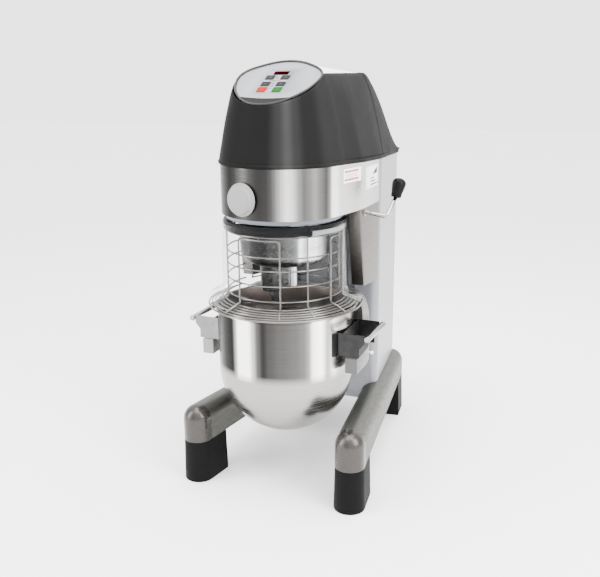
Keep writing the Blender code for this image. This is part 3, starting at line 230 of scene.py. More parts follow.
def hammered(name, colour, bands):
    look = Look(name, colour, 0.42, 0.25)
    cells = look.add("TexVoronoi", look.place, Scale=260.0).outputs["Distance"]
    look.tint(cells, scaled(colour, 0.72), 0.8, 0.1, 0.8)
    look.tint(look.noise(60.0), scaled(colour, 1.12), 0.5)
    # painted shade, multiplied into the colour round the bowl's axis
    look.bands(bands)
    return look.finish(look.noise(180.0), 0.3, 0.52, cells, 0.35, 0.0012)


def clear(name):
    """The thin clear sheet; its index is near that of air, so that it does not bend the view."""
    look = Look(name, (0.97, 0.98, 0.98), 0.03, IOR=1.12, Transmission_Weight=1.0)
    scuffs = look.noise(30.0, (1, 1, 6), 5.0)
    look.tint(scuffs, (0.9, 0.92, 0.92), 0.5)
    return look.finish(scuffs, 0.01, 0.06)


def chrome(name, colour, roughness=0.09):
    look = Look(name, colour, roughness, 1.0)
    stain, fine = look.noise(40.0), look.noise(500.0, detail=2.0)
    look.tint(stain, scaled(colour, 0.86), 0.5)
    return look.finish(fine, roughness * 0.7, roughness * 1.6, fine, 0.02, 0.0003)


PAINTED_BAND_EDGE_TINT = (
    0.72, 1.0, 0.0, 0.3,
)  # grazing reflection in the painted dark and light bands, and the shares they span
# painted reflections on the bowl: light and dark upright bands, multiplied into the steel's colour by
# azimuth
BOWL_PAINTED_REFLECTIONS = (
    (-75, 0.25), (-58, 0.11), (-50, 0.085), (-43, 0.022), (-36, 0.008), (-25, 0.008), (-21, 0.26),
    (-18, 1.2), (-8, 1.25), (-4, 0.4), (0, 0.075), (5, 0.02), (10, 0.044), (20, 0.065), (31, 0.082),
    (38, 0.11), (42, 0.2), (46, 0.95), (52, 1.25), (59, 0.32), (66, 0.85), (73, 0.45), (82, 0.4), (95, 0.2),
    (120, 0.6), (150, 0.15), (179, 0.3),
)
# painted reflections on the head's steel band, multiplied into its colour by azimuth
HEAD_PAINTED_REFLECTIONS = (
    (-80, 0.2), (-58, 0.07), (-46, 0.026), (-38, 0.02), (-32, 0.012), (-26, 0.026), (-20, 0.048),
    (-14, 0.054), (-7, 0.04), (1, 0.031), (8, 0.037), (12, 0.06), (15, 0.12), (19, 0.28), (22, 0.53),
    (26, 0.78), (30, 0.68), (33, 0.42), (36, 0.2), (41, 0.095), (46, 0.13), (51, 0.2), (57, 0.13),
    (63, 0.075), (67, 0.2), (71, 1.2), (76, 1.25), (84, 0.85), (120, 0.8), (179, 0.3),
)
# painted reflections on the drum, multiplied into its colour by azimuth
DRUM_PAINTED_REFLECTIONS = (
    (-80, 0.2), (-45, 0.06), (-30, 0.09), (-22, 0.032), (-10, 0.024), (-3, 0.016), (3, 0.045), (12, 0.055),
    (19, 0.09), (32, 0.115), (38, 0.2), (43, 1.2), (50, 0.5), (56, 1.1), (64, 1.2), (72, 0.7), (82, 0.3),
    (110, 0.2), (179, 0.3),
)
# painted highlight on the hood: a sheen near 27 degrees and lighter sides, multiplied into the plastic's
# colour
HOOD_PAINTED_HIGHLIGHT = (
    (-90, 0.36), (-60, 0.34), (-40, 0.25), (8, 0.25), (19, 0.56), (27, 1.0), (35, 0.56), (44, 0.28),
    (53, 0.28), (66, 0.48), (84, 0.44), (110, 0.4), (140, 0.42), (179, 0.4),
)
# painted reflection on the brackets: the left one light, the right one dark
BRACKET_PAINTED_REFLECTIONS = ((-100, 1.0), (-40, 1.0), (40, 0.15), (140, 0.15), (179, 0.5))
# painted shade on the yoke: darker towards the front end of its right arm
YOKE_PAINTED_SHADE = ((-100, 1.0), (0, 1.0), (66, 0.3), (79, 0.3), (90, 0.6), (140, 0.9))
LOOK_VALUES = {
    brushed: {
        "head_steel": ((0.86, 0.845, 0.83), 0.3, (6, 6, 700), (0.62, 0.6, 0.58), 0.12, HEAD_PAINTED_REFLECTIONS),
        # below the height where the bowl's round bottom starts, its painted reflection is one even share
        "bowl_steel": (
            (0.9, 0.87, 0.85), 0.22, (5, 5, 520), (0.66, 0.62, 0.6), 0.06, BOWL_PAINTED_REFLECTIONS, (0.349, 0.372, 0.33),
        ),
        # painted shade: the bowl's inside is the same steel, made dark brown where shade falls within it
        "bowl_inside": ((0.17, 0.135, 0.12), 0.34, (5, 5, 420), (0.085, 0.065, 0.056)),
        "drum_steel": ((0.8, 0.8, 0.8), 0.3, (90, 90, 110), (0.6, 0.6, 0.6), 0.1, DRUM_PAINTED_REFLECTIONS),
        "machined": ((0.24, 0.24, 0.24), 0.28, (8, 8, 400), (0.15, 0.15, 0.15)),
        # painted shade: the head's brushed steel, made dark on the neck cheeks
        "cheek_steel": ((0.125, 0.115, 0.108), 0.32, (6, 6, 700), (0.085, 0.078, 0.073), 0.12),
        "bracket_steel": ((0.19, 0.19, 0.19), 0.38, (60, 900, 60), (0.13, 0.13, 0.13), 0.1, BRACKET_PAINTED_REFLECTIONS),
        "tube": ((0.098, 0.098, 0.089), 0.46, (300, 8, 300), (0.085, 0.085, 0.078), 0.02),
    },
    painted: {
        "cast_cap": ((0.034, 0.031, 0.0285), 0.28, 0.25, 0.1, 0.75),
        "cast": ((0.24, 0.24, 0.245), 0.5, 0.2, 0.4, 0.8),
        "paint": ((0.15, 0.155, 0.17), 0.32, 0.05, 0.04),
        "ring_paint": ((0.105, 0.118, 0.145), 0.3, 0.05, 0.04),
        "motor": ((0.07, 0.11, 0.17), 0.45, 0.2, 0.2),
    },
    plastic: {
        "rubber": ((0.0042, 0.0042, 0.0042), 0.5, 700.0, 0.12, 0.3, 0.03),
        "hood": ((0.0255, 0.025, 0.025), 0.5, 1200.0, 0.1, 0.15, 0.012, HOOD_PAINTED_HIGHLIGHT),
        "bezel": ((0.022, 0.0215, 0.0215), 0.3, 1200.0, 0.05, 0.15, 0.12),
        "cover": ((0.8, 0.8, 0.81), 0.4, 1200.0, 0.04, 0.05),
        "panel": ((0.165, 0.169, 0.185), 0.5, 1500.0, 0.04, 0.03),
        "panel_dark": ((0.008, 0.008, 0.0083), 0.42, 1200.0, 0.05, 0.1, 0.04),
        "black": ((0.0035, 0.0035, 0.0038), 0.34, 1100.0, 0.06, 0.3, 0.06),
        "hub_cap": ((0.165, 0.16, 0.162), 0.42, 1300.0, 0.05, 0.05),
        "key_grey": ((0.01, 0.0103, 0.0105), 0.48, 1500.0, 0.05, 0.1, 0.04),
        "key_red": ((0.22, 0.004, 0.0), 0.42, 1500.0, 0.05, 0.06, 0.03),
        "key_green": ((0.0, 0.064, 0.003), 0.42, 1500.0, 0.05, 0.06, 0.03),
        "window": ((0.011, 0.0, 0.0001), 0.14, 300.0, 0.01, 0.3, 0.0),
        "mark_red": ((0.3, 0.03, 0.012), 0.5, 1500.0, 0.03, 0.04, 0.05),
        "mark_green": ((0.02, 0.13, 0.03), 0.5, 1500.0, 0.03, 0.04, 0.05),
        "mark_grey": ((0.05, 0.05, 0.052), 0.5, 1500.0, 0.03, 0.04, 0.05),
        "print_dark": ((0.025, 0.025, 0.028), 0.5, 1500.0, 0.03, 0.1, 0.2),
        "print_grey": ((0.14, 0.14, 0.145), 0.5, 1500.0, 0.03, 0.06),
        "print_red": ((0.085, 0.006, 0.01), 0.5, 1500.0, 0.03, 0.1, 0.2),
        "label": ((0.8, 0.81, 0.8), 0.38, 900.0, 0.03, 0.03),
        "label_red": ((0.42, 0.06, 0.05), 0.4, 900.0, 0.03, 0.08),
        "board": ((0.02, 0.16, 0.05), 0.45, 500.0, 0.1, 0.3),
        "belt": ((0.02, 0.02, 0.02), 0.6, 600.0, 0.2, 0.3),
        "frosted": ((0.2, 0.205, 0.205), 0.25, 700.0, 0.04, 0.06),
    },
    chrome: {"chrome": ((0.3, 0.29, 0.28),), "wire": ((0.155, 0.143, 0.135), 0.1)},
    hammered: {"hammered": ((0.21, 0.21, 0.205), YOKE_PAINTED_SHADE)},
    clear: {"clear": ()},
}
LOOKS = {name: make(name, *values) for make, table in LOOK_VALUES.items() for name, values in table.items()}


# ---------------------------------------------------------------- mesh helpers


def turned(direction):
    """Rotation that takes +Z to a direction."""
    return Vector(direction).normalized().to_track_quat("Z", "Y").to_matrix().to_4x4()


def moved(bm, matrix):
    bmesh.ops.transform(bm, matrix=matrix, verts=bm.verts)
    return bm


def grid_faces(bm, rows):
    for a, b in zip(rows, rows[1:]):
        for i in range(len(a) - 1):
            bm.faces.new((a[i], a[i + 1], b[i + 1], b[i]))


def skin(bm, loops, close=False, caps=True):
    rings = [[bm.verts.new(p) for p in loop] for loop in loops]
    count = len(rings[0])
    pairs = list(zip(rings, rings[1:]))
    if close:
        pairs.append((rings[-1], rings[0]))
    for low, high in pairs:
        for i in range(count):
            j = (i + 1) % count
            bm.faces.new((low[i], low[j], high[j], high[i]))
    if caps and not close:
        bm.faces.new(rings[0])
        bm.faces.new(rings[-1])
    return rings


def loft(loops, close=False):
    bm = bmesh.new()
    skin(bm, loops, close)
    return bm


def circle(radius, z, count, centre=(0, 0)):
    step = 2 * pi / count
    turns = [i * step for i in range(count)]
    return [Vector((centre[0] + radius * cos(a), centre[1] + radius * sin(a), z)) for a in turns]


def lathe(profile, count=96, centre=(0, 0)):
    """Solid of revolution; a profile that starts on the axis is open, any other is a closed outline."""
    bm = bmesh.new()
    on_axis = profile[0][0] == 0
    inner = profile[1:-1] if on_axis else profile
    rings = skin(bm, [circle(r, z, count, centre) for r, z in inner], not on_axis, False)
    if on_axis:
        for ring, (_, z) in ((rings[0], profile[0]), (rings[-1], profile[-1])):
            tip = bm.verts.new((centre[0], centre[1], z))
            for i in range(count):
                bm.faces.new((ring[i], ring[(i + 1) % count], tip))
    return bm


def read_off(table, value):
    """Reads a table of (value, result), with straight lines between its rows."""
    for (a, low), (b, high) in zip(table, table[1:]):
        if value <= b:
            return low + (high - low) * max(0.0, value - a) / (b - a)
    return table[-1][1]


def spread(start, end, steps):
    return [start + (end - start) * i / steps for i in range(steps + 1)]


def arc(radius, start, end, steps, centre=(0, 0)):
    """Plan points on a circle; angles run from the front (-Y) towards +X."""
    x, y = centre
    return [(x + radius * sin(a), y - radius * cos(a)) for a in spread(start, end, steps)]


def mirrored(half):
    """Both sides of a plan that is given from the middle of the front round the right side."""
    return [(-x, y) for x, y in reversed(half[1:])] + half


def rounded(points, radius, steps):
    """Rounds the corners of an open path of points."""
    points = [Vector(p) for p in points]
    made = [points[0]]
    for before, here, after in zip(points, points[1:], points[2:]):
        reach = min(radius, (before - here).length * 0.45, (after - here).length * 0.45)
        start, end = here + (before - here).normalized() * reach, here + (after - here).normalized() * reach
        for i in range(steps + 1):
            t = i / steps
            made.append(start * (1 - t) ** 2 + here * 2 * t * (1 - t) + end * t * t)
    return made + [points[-1]]


def tube(bm, path, radius, sides=10, close=False):
    """A round bar along a path, added to a mesh; its ends are slightly domed."""
    path = [Vector(p) for p in path]
    loops, normal = [], None
    count = len(path)
    for i, point in enumerate(path):
        before = path[i - 1] if close or i else path[0]
        after = path[(i + 1) % count] if close or i < count - 1 else path[-1]
        along = (after - before).normalized()
        if normal is None:
            normal = along.cross(Vector((0.3, 0.2, 1.0))).normalized()
        normal = (normal - along * normal.dot(along)).normalized()
        other = along.cross(normal)
        turns = [2 * pi * k / sides for k in range(sides)]
        loops.append([point + normal * radius * cos(a) + other * radius * sin(a) for a in turns])
    if not close:
        for end, step in ((0, 1), (-1, -1)):
            along = (path[end] - path[end + step]).normalized() * radius * 0.35
            cap = [path[end] + (p - path[end]) * 0.72 + along for p in loops[end]]
            loops.insert(0, cap) if end == 0 else loops.append(cap)
    skin(bm, loops, close)
    return bm


def wall(plan, inner, bottom, top):
    """An upright wall between an outer and an inner open plan; the bottom may vary, the top is a list."""
    bm = bmesh.new()
    heights = bottom if isinstance(bottom, list) else [bottom] * len(plan)
    rows = []
    for line, levels in ((plan, heights), (plan, top), (inner, top), (inner, heights)):
        rows.append([bm.verts.new((x, y, z)) for (x, y), z in zip(line, levels)])
    grid_faces(bm, rows + rows[:1])
    for end in (0, -1):
        bm.faces.new([row[end] for row in rows])
    return bm


def offset(plan, distance):
    """The same open plan, moved sideways by a distance."""
    made = []
    for i, (x, y) in enumerate(plan):
        normals = []
        for a, b in ((i - 1, i), (i, i + 1)):
            if a >= 0 and b < len(plan):
                dx, dy = plan[b][0] - plan[a][0], plan[b][1] - plan[a][1]
                length = hypot(dx, dy)
                normals.append((-dy / length, dx / length))
        nx, ny = sum(n[0] for n in normals) / len(normals), sum(n[1] for n in normals) / len(normals)
        share = distance / (nx * nx + ny * ny)
        made.append((x + nx * share, y + ny * share))
    return made


def prism(outline, low, high):
    return loft([[Vector((x, y, z)) for x, y in outline] for z in (low, high)])


def join(*meshes):
    whole = meshes[0]
    for other in meshes[1:]:
        data = bpy.data.meshes.new("joined")
        other.to_mesh(data)
        other.free()
        whole.from_mesh(data)
        bpy.data.meshes.remove(data)
    return whole


def placed(name, data):
    obj = bpy.data.objects.new(name, data)
    bpy.context.scene.collection.objects.link(obj)
    return obj


def piece(name, bm, look, body, replaces=(), bevel=0.0, sharp=35, steps=3):
    """Finishes a mesh as a piece of the model, riding on a body and standing for CAD nodes."""
    bmesh.ops.remove_doubles(bm, verts=bm.verts, dist=1e-6)
    bmesh.ops.recalc_face_normals(bm, faces=bm.faces)
    bmesh.ops.translate(bm, verts=bm.verts, vec=ORIGIN)
    mesh = bpy.data.meshes.new(name)
    bm.to_mesh(mesh)
    bm.free()
    mesh.shade_smooth()
    mesh.set_sharp_from_angle(angle=radians(sharp))
    mesh.materials.append(LOOKS[look])
    obj = placed(name, mesh)
    if bevel:
        edge = obj.modifiers.new("edges", "BEVEL")
        edge.width, edge.segments, edge.limit_method = bevel, steps, "ANGLE"
        edge.angle_limit = radians(sharp)
        edge.harden_normals = True
    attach(obj, body)
    if replaces:
        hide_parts(*replaces)
    return obj


def shell(name, rows, thickness, look, body, replaces, sharp=40):
    """A grid of points as a thin moulding, grown inwards."""
    bm = bmesh.new()
    grid_faces(bm, [[bm.verts.new(p) for p in row] for row in rows])
    obj = piece(name, bm, look, body, replaces, sharp=sharp)
    thick = obj.modifiers.new("thickness", "SOLIDIFY")
    thick.thickness, thick.offset = thickness, -1
    return obj


# ---------------------------------------------------------------- base


def rail_turn(sign, end):
    """Matrix of a rail's front or rear end: its own -Y points out of the end."""
    turn = sign * RAIL_ANGLE
    front = Vector((sign * RAIL_X, RAIL_Y, 0))
    if end == "front":
        return Matrix.Translation(front) @ Matrix.Rotation(turn, 4, "Z")
    rear = front + Matrix.Rotation(turn, 3, "Z") @ Vector((0, RAIL_LENGTH, 0))
    return Matrix.Translation(rear) @ Matrix.Rotation(turn + pi, 4, "Z")


def rail_outline(radius, fall):
    points = [(-radius, RAIL_BOTTOM)]
    for a in spread(0, pi, 32):
        points.append((-radius * cos(a), RAIL_AXIS_Z - fall + radius * sin(a)))
    return points + [(radius, RAIL_BOTTOM)]


def cap_mesh(fall):
    """Round nose under a quarter sphere, joined to a short straight part."""
    axis_z = RAIL_AXIS_Z - fall
    bm = bmesh.new()
    rows = []
    turns = [pi * i / 32 - pi / 2 for i in range(33)]
    for z, lift in [(RAIL_BOTTOM, 0), (0.15, 0)] + [(axis_z, a) for a in range(0, 90, 10)]:
        up, reach = RAIL_R * sin(radians(lift)), RAIL_R * cos(radians(lift))
        row = [(reach, CAP_LENGTH, z + up)]
        row += [(-reach * sin(a), -reach * cos(a), z + up) for a in turns]
        row.append((-reach, CAP_LENGTH, z + up))
        rows.append([bm.verts.new(p) for p in row])
    grid_faces(bm, rows)
    top = rows[-1]
    crown = bm.verts.new((0, 0, axis_z + RAIL_R))
    back = bm.verts.new((0, CAP_LENGTH, axis_z + RAIL_R))
    for i in range(1, len(top) - 2):
        bm.faces.new((top[i], top[i + 1], crown))
    bm.faces.new((top[0], top[1], crown, back))
    bm.faces.new((top[-2], top[-1], back, crown))
    bm.faces.new([row[0] for row in rows] + [back] + [row[-1] for row in reversed(rows)])
    bm.faces.new(rows[0])
    return bm


def foot_mesh():
    """Moulded foot: a round front, a small radius at the floor and a step under the cap."""
    loops = []
    profile = (
        (0.0, 0.0418), (0.0012, 0.043), (0.004, 0.0434), (0.118, 0.0404), (0.1205, 0.0398),
        (0.1227, 0.0396),
    )
    for z, r in profile:
        plan = arc(r, -pi / 2, pi / 2, 32) + [(r, FOOT_LENGTH), (-r, FOOT_LENGTH)]
        loops.append([Vector((x, y, z)) for x, y in plan])
    return loft(loops)


def make_base():
    for side, sign in SIDES:
        loops = []
        for s in (CAP_LENGTH + JOINT, RAIL_LENGTH - CAP_LENGTH - JOINT):
            fall = RAIL_FALL * s / RAIL_LENGTH
            outline = rail_outline(RAIL_R - 0.0002, fall) + rail_outline(RAIL_R - RAIL_WALL, fall)[::-1]
            loops.append([Vector((t, s, z)) for t, z in outline])
        rail = moved(loft(loops), rail_turn(sign, "front"))
        piece(f"rail_tube_{side}", rail, "tube", "frame", [f"rail_{side}"], 0.0006)
        for end in ("front", "rear"):
            cap = cap_mesh(RAIL_FALL if end == "rear" else 0.0)
            for kind, bm, look, slot, bevel in (
                ("rail_cap", cap, "cast_cap", "cast_cap", 0.0012),
                ("foot", foot_mesh(), "rubber", "foot_rubber", 0.0015),
            ):
                moved(bm, rail_turn(sign, end))
                node_name = f"{kind}_{end}_{side}"
                piece(f"{node_name}_body", bm, look, "frame", [node_name], bevel)


# ---------------------------------------------------------------- column


def rail_centre_x(y):
    return RAIL_X - tan(RAIL_ANGLE) * (y - RAIL_Y)


def over_rail(x, y):
    """Lowest level of the casing, which is cut out over each rail."""
    across = (abs(x) - rail_centre_x(y)) * cos(RAIL_ANGLE)
    reach = RAIL_R + JOINT
    if abs(across) >= reach:
        return 0.18
    fall = RAIL_FALL * (y - RAIL_Y) / (RAIL_LENGTH * cos(RAIL_ANGLE))
    return RAIL_AXIS_Z - fall + sqrt(reach * reach - across * across)


def make_column():
    corner, turn = 0.022, pi / 2 + 0.13
    half = [(0.012 * i, COLUMN_FRONT) for i in range(12)]
    half += [(0.14 + 0.003 * i, COLUMN_FRONT) for i in range(1, 9)]
    half += arc(corner, 0, turn, 16, (0.189 - corner, COLUMN_FRONT + corner))
    start, end = half[-1], (0.1505, COLUMN_REAR - 0.016)
    half += list(zip(*[spread(a, b, 24)[1:] for a, b in zip(start, end)]))
    half += arc(0.012, turn, pi, 8, (0.15 - 0.0115, COLUMN_REAR - 0.012))
    half += [(0.1365 - 0.0023 * i, COLUMN_REAR) for i in range(9)]
    plan = mirrored(half)
    bottoms = [over_rail(x, y) for x, y in plan]
    tops = [
        0.779 if y < COLUMN_FRONT + 0.0005 and abs(x) < 0.165 else rim_bottom(y) - 0.0004
        for x, y in plan
    ]
    bm = wall(plan, offset(plan, 0.0025), bottoms, tops)
    piece("column_casing", bm, "paint", "frame", ["column_shell"], sharp=30)
    screws = bmesh.new()
    for x in (-0.104, 0.104):
        for z in (0.26, 0.47, 0.68, 0.875):
            head = lathe([(0.0, 0.0), (0.0045, 0.0), (0.0045, 0.0008), (0.003, 0.0022), (0.0, 0.0025)], 20)
            spot = Matrix.Translation((x, COLUMN_REAR, z)) @ turned((0, 1, 0))
            screws = join(screws, moved(head, spot))
    piece("rear_screws", screws, "chrome", "frame")


# ---------------------------------------------------------------- head


def head_plan(radius, half, rear):
    """Round front, sides that leave it on a tangent, a soft corner and a straight run back."""
    front = arc(radius, 0, pi / 2 - NECK_LEAN, 40)
    x, y = front[-1]
    reach = (half - x) / sin(NECK_LEAN)
    corner = (half, y + reach * cos(NECK_LEAN))
    path = rounded([Vector((x, y, 0)), Vector((*corner, 0)), Vector((half, rear, 0))], 0.03, 6)
    return mirrored(front + [(p.x, p.y) for p in path[1:]])


def make_head():
    plan = head_plan(HEAD_R, NECK_HALF, COLUMN_FRONT - 0.0008)
    tops = [HEAD_TOP - HOOD_FALL * max(0.0, y) for _, y in plan]
    bm = wall(plan, offset(plan, 0.002), HEAD_BOTTOM, tops)
    piece("head_band", bm, "head_steel", "frame", ["head_skin"], 0.0006, 50, 2)
    for side, sign in SIDES:
        rows = []
        for z, lean in ((0.56, 0.04), (HEAD_BOTTOM - 0.00015, 0.0)):
            y = NECK_Y + 0.004 + lean
            path = rounded([
                Vector((NECK_HALF, COLUMN_FRONT - 0.0008, 0)), Vector((NECK_HALF, y, 0)),
                Vector((0.152, y, 0)), Vector((0.152, COLUMN_FRONT - 0.0008, 0)),
            ], 0.004, 4)
            outer = [(p.x, p.y) for p in path]
            inner = offset(outer, -0.002)
            drop = 0.013 if z < 0.6 else 0.0
            outline = outer + inner[::-1]
            rows.append([Vector((sign * x, v, z - drop * max(0.0, v - 0.116) / 0.124)) for x, v in outline])
        # the cheeks take the painted-shade copy of the head's steel
        piece(
            f"cheek_{side}", loft(rows), "cheek_steel", "frame", [f"neck_cheek_{side}"],
            0.0, 40,
        )
    ring = [
        (0.1235, 0.769), (0.15, 0.7668), (0.154, 0.7666), (0.1562, 0.7676), (0.157, 0.77), (0.157, 0.779),
        (0.1562, 0.7797), (0.1235, 0.7797),
    ]
    bm = lathe(ring, 128)
    start, end = radians(29), radians(37)
    tab = prism(arc(0.1585, start, end, 6) + arc(0.156, end, start, 6), 0.7665, 0.78)
    piece("head_flange", join(bm, tab), "ring_paint", "frame", ["head_ring"], sharp=45)


# ---------------------------------------------------------------- hood


def hood_half(z):
    return read_off(HOOD_PROFILE, z)


def side_half(y):
    """Half width of the body under the rim at a distance behind the axis."""
    if y <= NECK_CORNER:
        return HEAD_R + (NECK_HALF - HEAD_R) * max(0.0, y + 0.014) / 0.101
    if y <= COLUMN_FRONT:
        return NECK_HALF
    return NECK_HALF + (0.15 - NECK_HALF) * (y - COLUMN_FRONT) / (COLUMN_REAR - COLUMN_FRONT)


def hood_side_x(y, z):
    spread = (side_half(y) - HEAD_R) * (1.0 if z < 0.9195 else 0.77)
    return hood_half(z) + spread * max(0.0, (hood_half(z) - HOOD_TOP_HALF) / (HEAD_R - HOOD_TOP_HALF))


def rim_bottom(y):
    return HOOD_PROFILE[0][0] - HOOD_FALL * max(0.0, y)


def rim_drop(y, z):
    """All of the rim's fall at its own level, none at the top of the hood."""
    return HOOD_FALL * max(0.0, y) * (1.0 - max(0.0, z - HOOD_BASE) / (HOOD_TOP_Z - HOOD_BASE))


def panel_point(x, up, lift=0.0):
    return PANEL_CENTRE + Matrix.Rotation(PANEL_TILT, 3, "X") @ Vector((x, up, lift))


def hood_top_at(angle):
    low, high = HOOD_PROFILE[0][0], HOOD_TOP_Z
    for _ in range(30):
        z = (low + high) / 2
        y = -hood_half(z) * cos(angle)
        if z < PANEL_CENTRE.z + tan(PANEL_TILT) * (y - PANEL_CENTRE.y):
            low = z
        else:
            high = z
    return low


def squeezed(z, top, base):
    """A level of the profile where the hood ends at another top than the highest."""
    return z if z <= base else base + (z - base) * (top - base) / (HOOD_TOP_Z - base)


def make_hood():
    turns = spread(0, pi / 2, 40)
    runs = [
        0.006, 0.014, 0.026, 0.04, 0.056, 0.074, 0.087, 0.1, 0.13, 0.165, 0.2, 0.235, 0.265, 0.285, 0.2945,
        0.2965,
    ]
    rows = []
    for z, _ in HOOD_PROFILE:
        half = []
        for a in turns:
            level = squeezed(z, hood_top_at(a), HOOD_BASE)
            r = hood_half(level)
            r += (hood_side_x(0.0, level) - r) * max(0.0, sin(a)) ** 6
            half.append(Vector((r * sin(a), -hood_half(level) * cos(a), level)))
        for y in runs:
            half.append(Vector((hood_side_x(y, z), y, z - rim_drop(y, z))))
        groove, level = half[-1].x, half[-1].z
        half.append(Vector((groove - 0.0022, HOOD_SEAM - 0.001, level)))
        half.append(Vector((groove - 0.0036, HOOD_SEAM - 0.0004, level)))
        rows.append([Vector((-p.x, p.y, p.z)) for p in reversed(half[1:])] + half)
    shell("hood_shell", rows, 0.003, "hood", "frame", ["hood_front"], 32)
    rows = []
    base = HOOD_BASE + 0.004
    steps = [0.0, 0.002, 0.012, 0.04] + [0.04 + 0.96 * i / 22 for i in range(1, 23)]
    for k, share in enumerate(steps):
        y = HOOD_SEAM + 0.0004 + (HOOD_REAR - HOOD_SEAM - 0.0004) * share
        fall = max(0.0, share - 0.04) / 0.96
        crest = base + (HOOD_TOP_Z - base) * (1 - fall ** 1.7)
        inset = (0.0036, 0.0012, 0.0, 0.0)[k] if k < 4 else 0.0
        half = []
        for z, _ in HOOD_PROFILE:
            level = squeezed(z, crest, base)
            height = level - rim_drop(y, level) - inset * (z > 1.13)
            half.append(Vector((hood_side_x(y, z) - inset, y, height)))
        edge, dome = half[-1].x, half[-1].z
        for share_x in (0.985, 0.955, 0.9, 0.8, 0.65, 0.5, 0.33, 0.16, 0.0):
            half.append(Vector((edge * share_x, y, dome + 0.004 * (1 - share_x ** 2))))
        rows.append(half + [Vector((-p.x, p.y, p.z)) for p in reversed(half[:-1])])
    shell("hood_back", rows, 0.003, "hood", "frame", ["hood_rear"], 32)
    end_half = hood_side_x(HOOD_REAR, HOOD_PROFILE[0][0]) - 0.004
    tail_top = base - rim_drop(HOOD_REAR, base) - 0.001
    outline = [
        (-end_half, HOOD_REAR - 0.003), (end_half, HOOD_REAR - 0.003), (end_half, HOOD_REAR - 0.0005),
        (-end_half, HOOD_REAR - 0.0005),
    ]
    piece(
        "hood_tail", prism(outline, rim_bottom(HOOD_REAR) + 0.0004, tail_top), "hood", "frame",
        bevel=0.0005,
    )
    rows = []
    for i in range(15):
        share, row = i / 14, []
        for j in range(-24, 25):
            k = j / 24
            angle = k * radians(68)
            reach = panel_radius(pi - angle) - 0.0022
            start = panel_point(reach * sin(angle), reach * cos(angle), -0.0019)
            across = (HOOD_TOP_HALF - 0.0038) * sin(k * pi / 2)
            end = Vector((across, HOOD_SEAM - 0.002, HOOD_TOP_Z - 0.001 + 0.003 * (1 - k * k)))
            point = start.lerp(end, share)
            point.z += 0.002 * (1 - k * k) * sin(pi * share ** 0.8)
            row.append(point)
        rows.append(row[::-1])
    shell("top_panel", rows, 0.0025, "cover", "frame", ["top_cover"], 40)


# ---------------------------------------------------------------- control panel


def panel_plate(outline, low, high):
    return loft([[panel_point(x, up, lift) for x, up in outline] for lift in (low, high)])


def soft_box(x, up, width, height, radius=0.003, steps=6):
    outline = []
    for sx, sy, start in ((1, 1, 0), (-1, 1, 90), (-1, -1, 180), (1, -1, 270)):
        cx, cy = x + sx * (width / 2 - radius), up + sy * (height / 2 - radius)
        turns = [radians(start + 90 * i / steps) for i in range(steps + 1)]
        outline += [(cx + radius * cos(a), cy + radius * sin(a)) for a in turns]
    return outline


def stroke(points, width, lift, height=0.0002):
    """A flat printed line on the panel through (x, up) points."""
    path = [Vector((*p, 0)) for p in points]
    left, right = [], []
    for i, p in enumerate(path):
        along = (path[min(i + 1, len(path) - 1)] - path[max(i - 1, 0)]).normalized()
        across = Vector((-along.y, along.x, 0)) * width / 2
        left.append(((p + across).x, (p + across).y))
        right.append(((p - across).x, (p - across).y))
    return panel_plate(left + right[::-1], lift, lift + height)


def arrow_arc(x, up, radius, start, end):
    turns = [radians(a) for a in spread(start, end, 14)]
    return [(x + radius * cos(a), up + radius * sin(a)) for a in turns]


def panel_radius(turn):
    """Outer radius of the bezel at an angle from its lower end; it is widest above the middle."""
    around = abs(degrees(turn)) % 360
    around = min(around, 360 - around)
    swell, waist = exp(-((around - 112) / 22) ** 2), exp(-((around - 52) / 24) ** 2)
    return PANEL_R + 0.0115 * swell - 0.005 * waist


def panel_arc(inset, start, end, steps):
    turns = [(a, panel_radius(a) - inset) for a in spread(start, end, steps)]
    return [(reach * sin(a), -reach * cos(a)) for a, reach in turns]


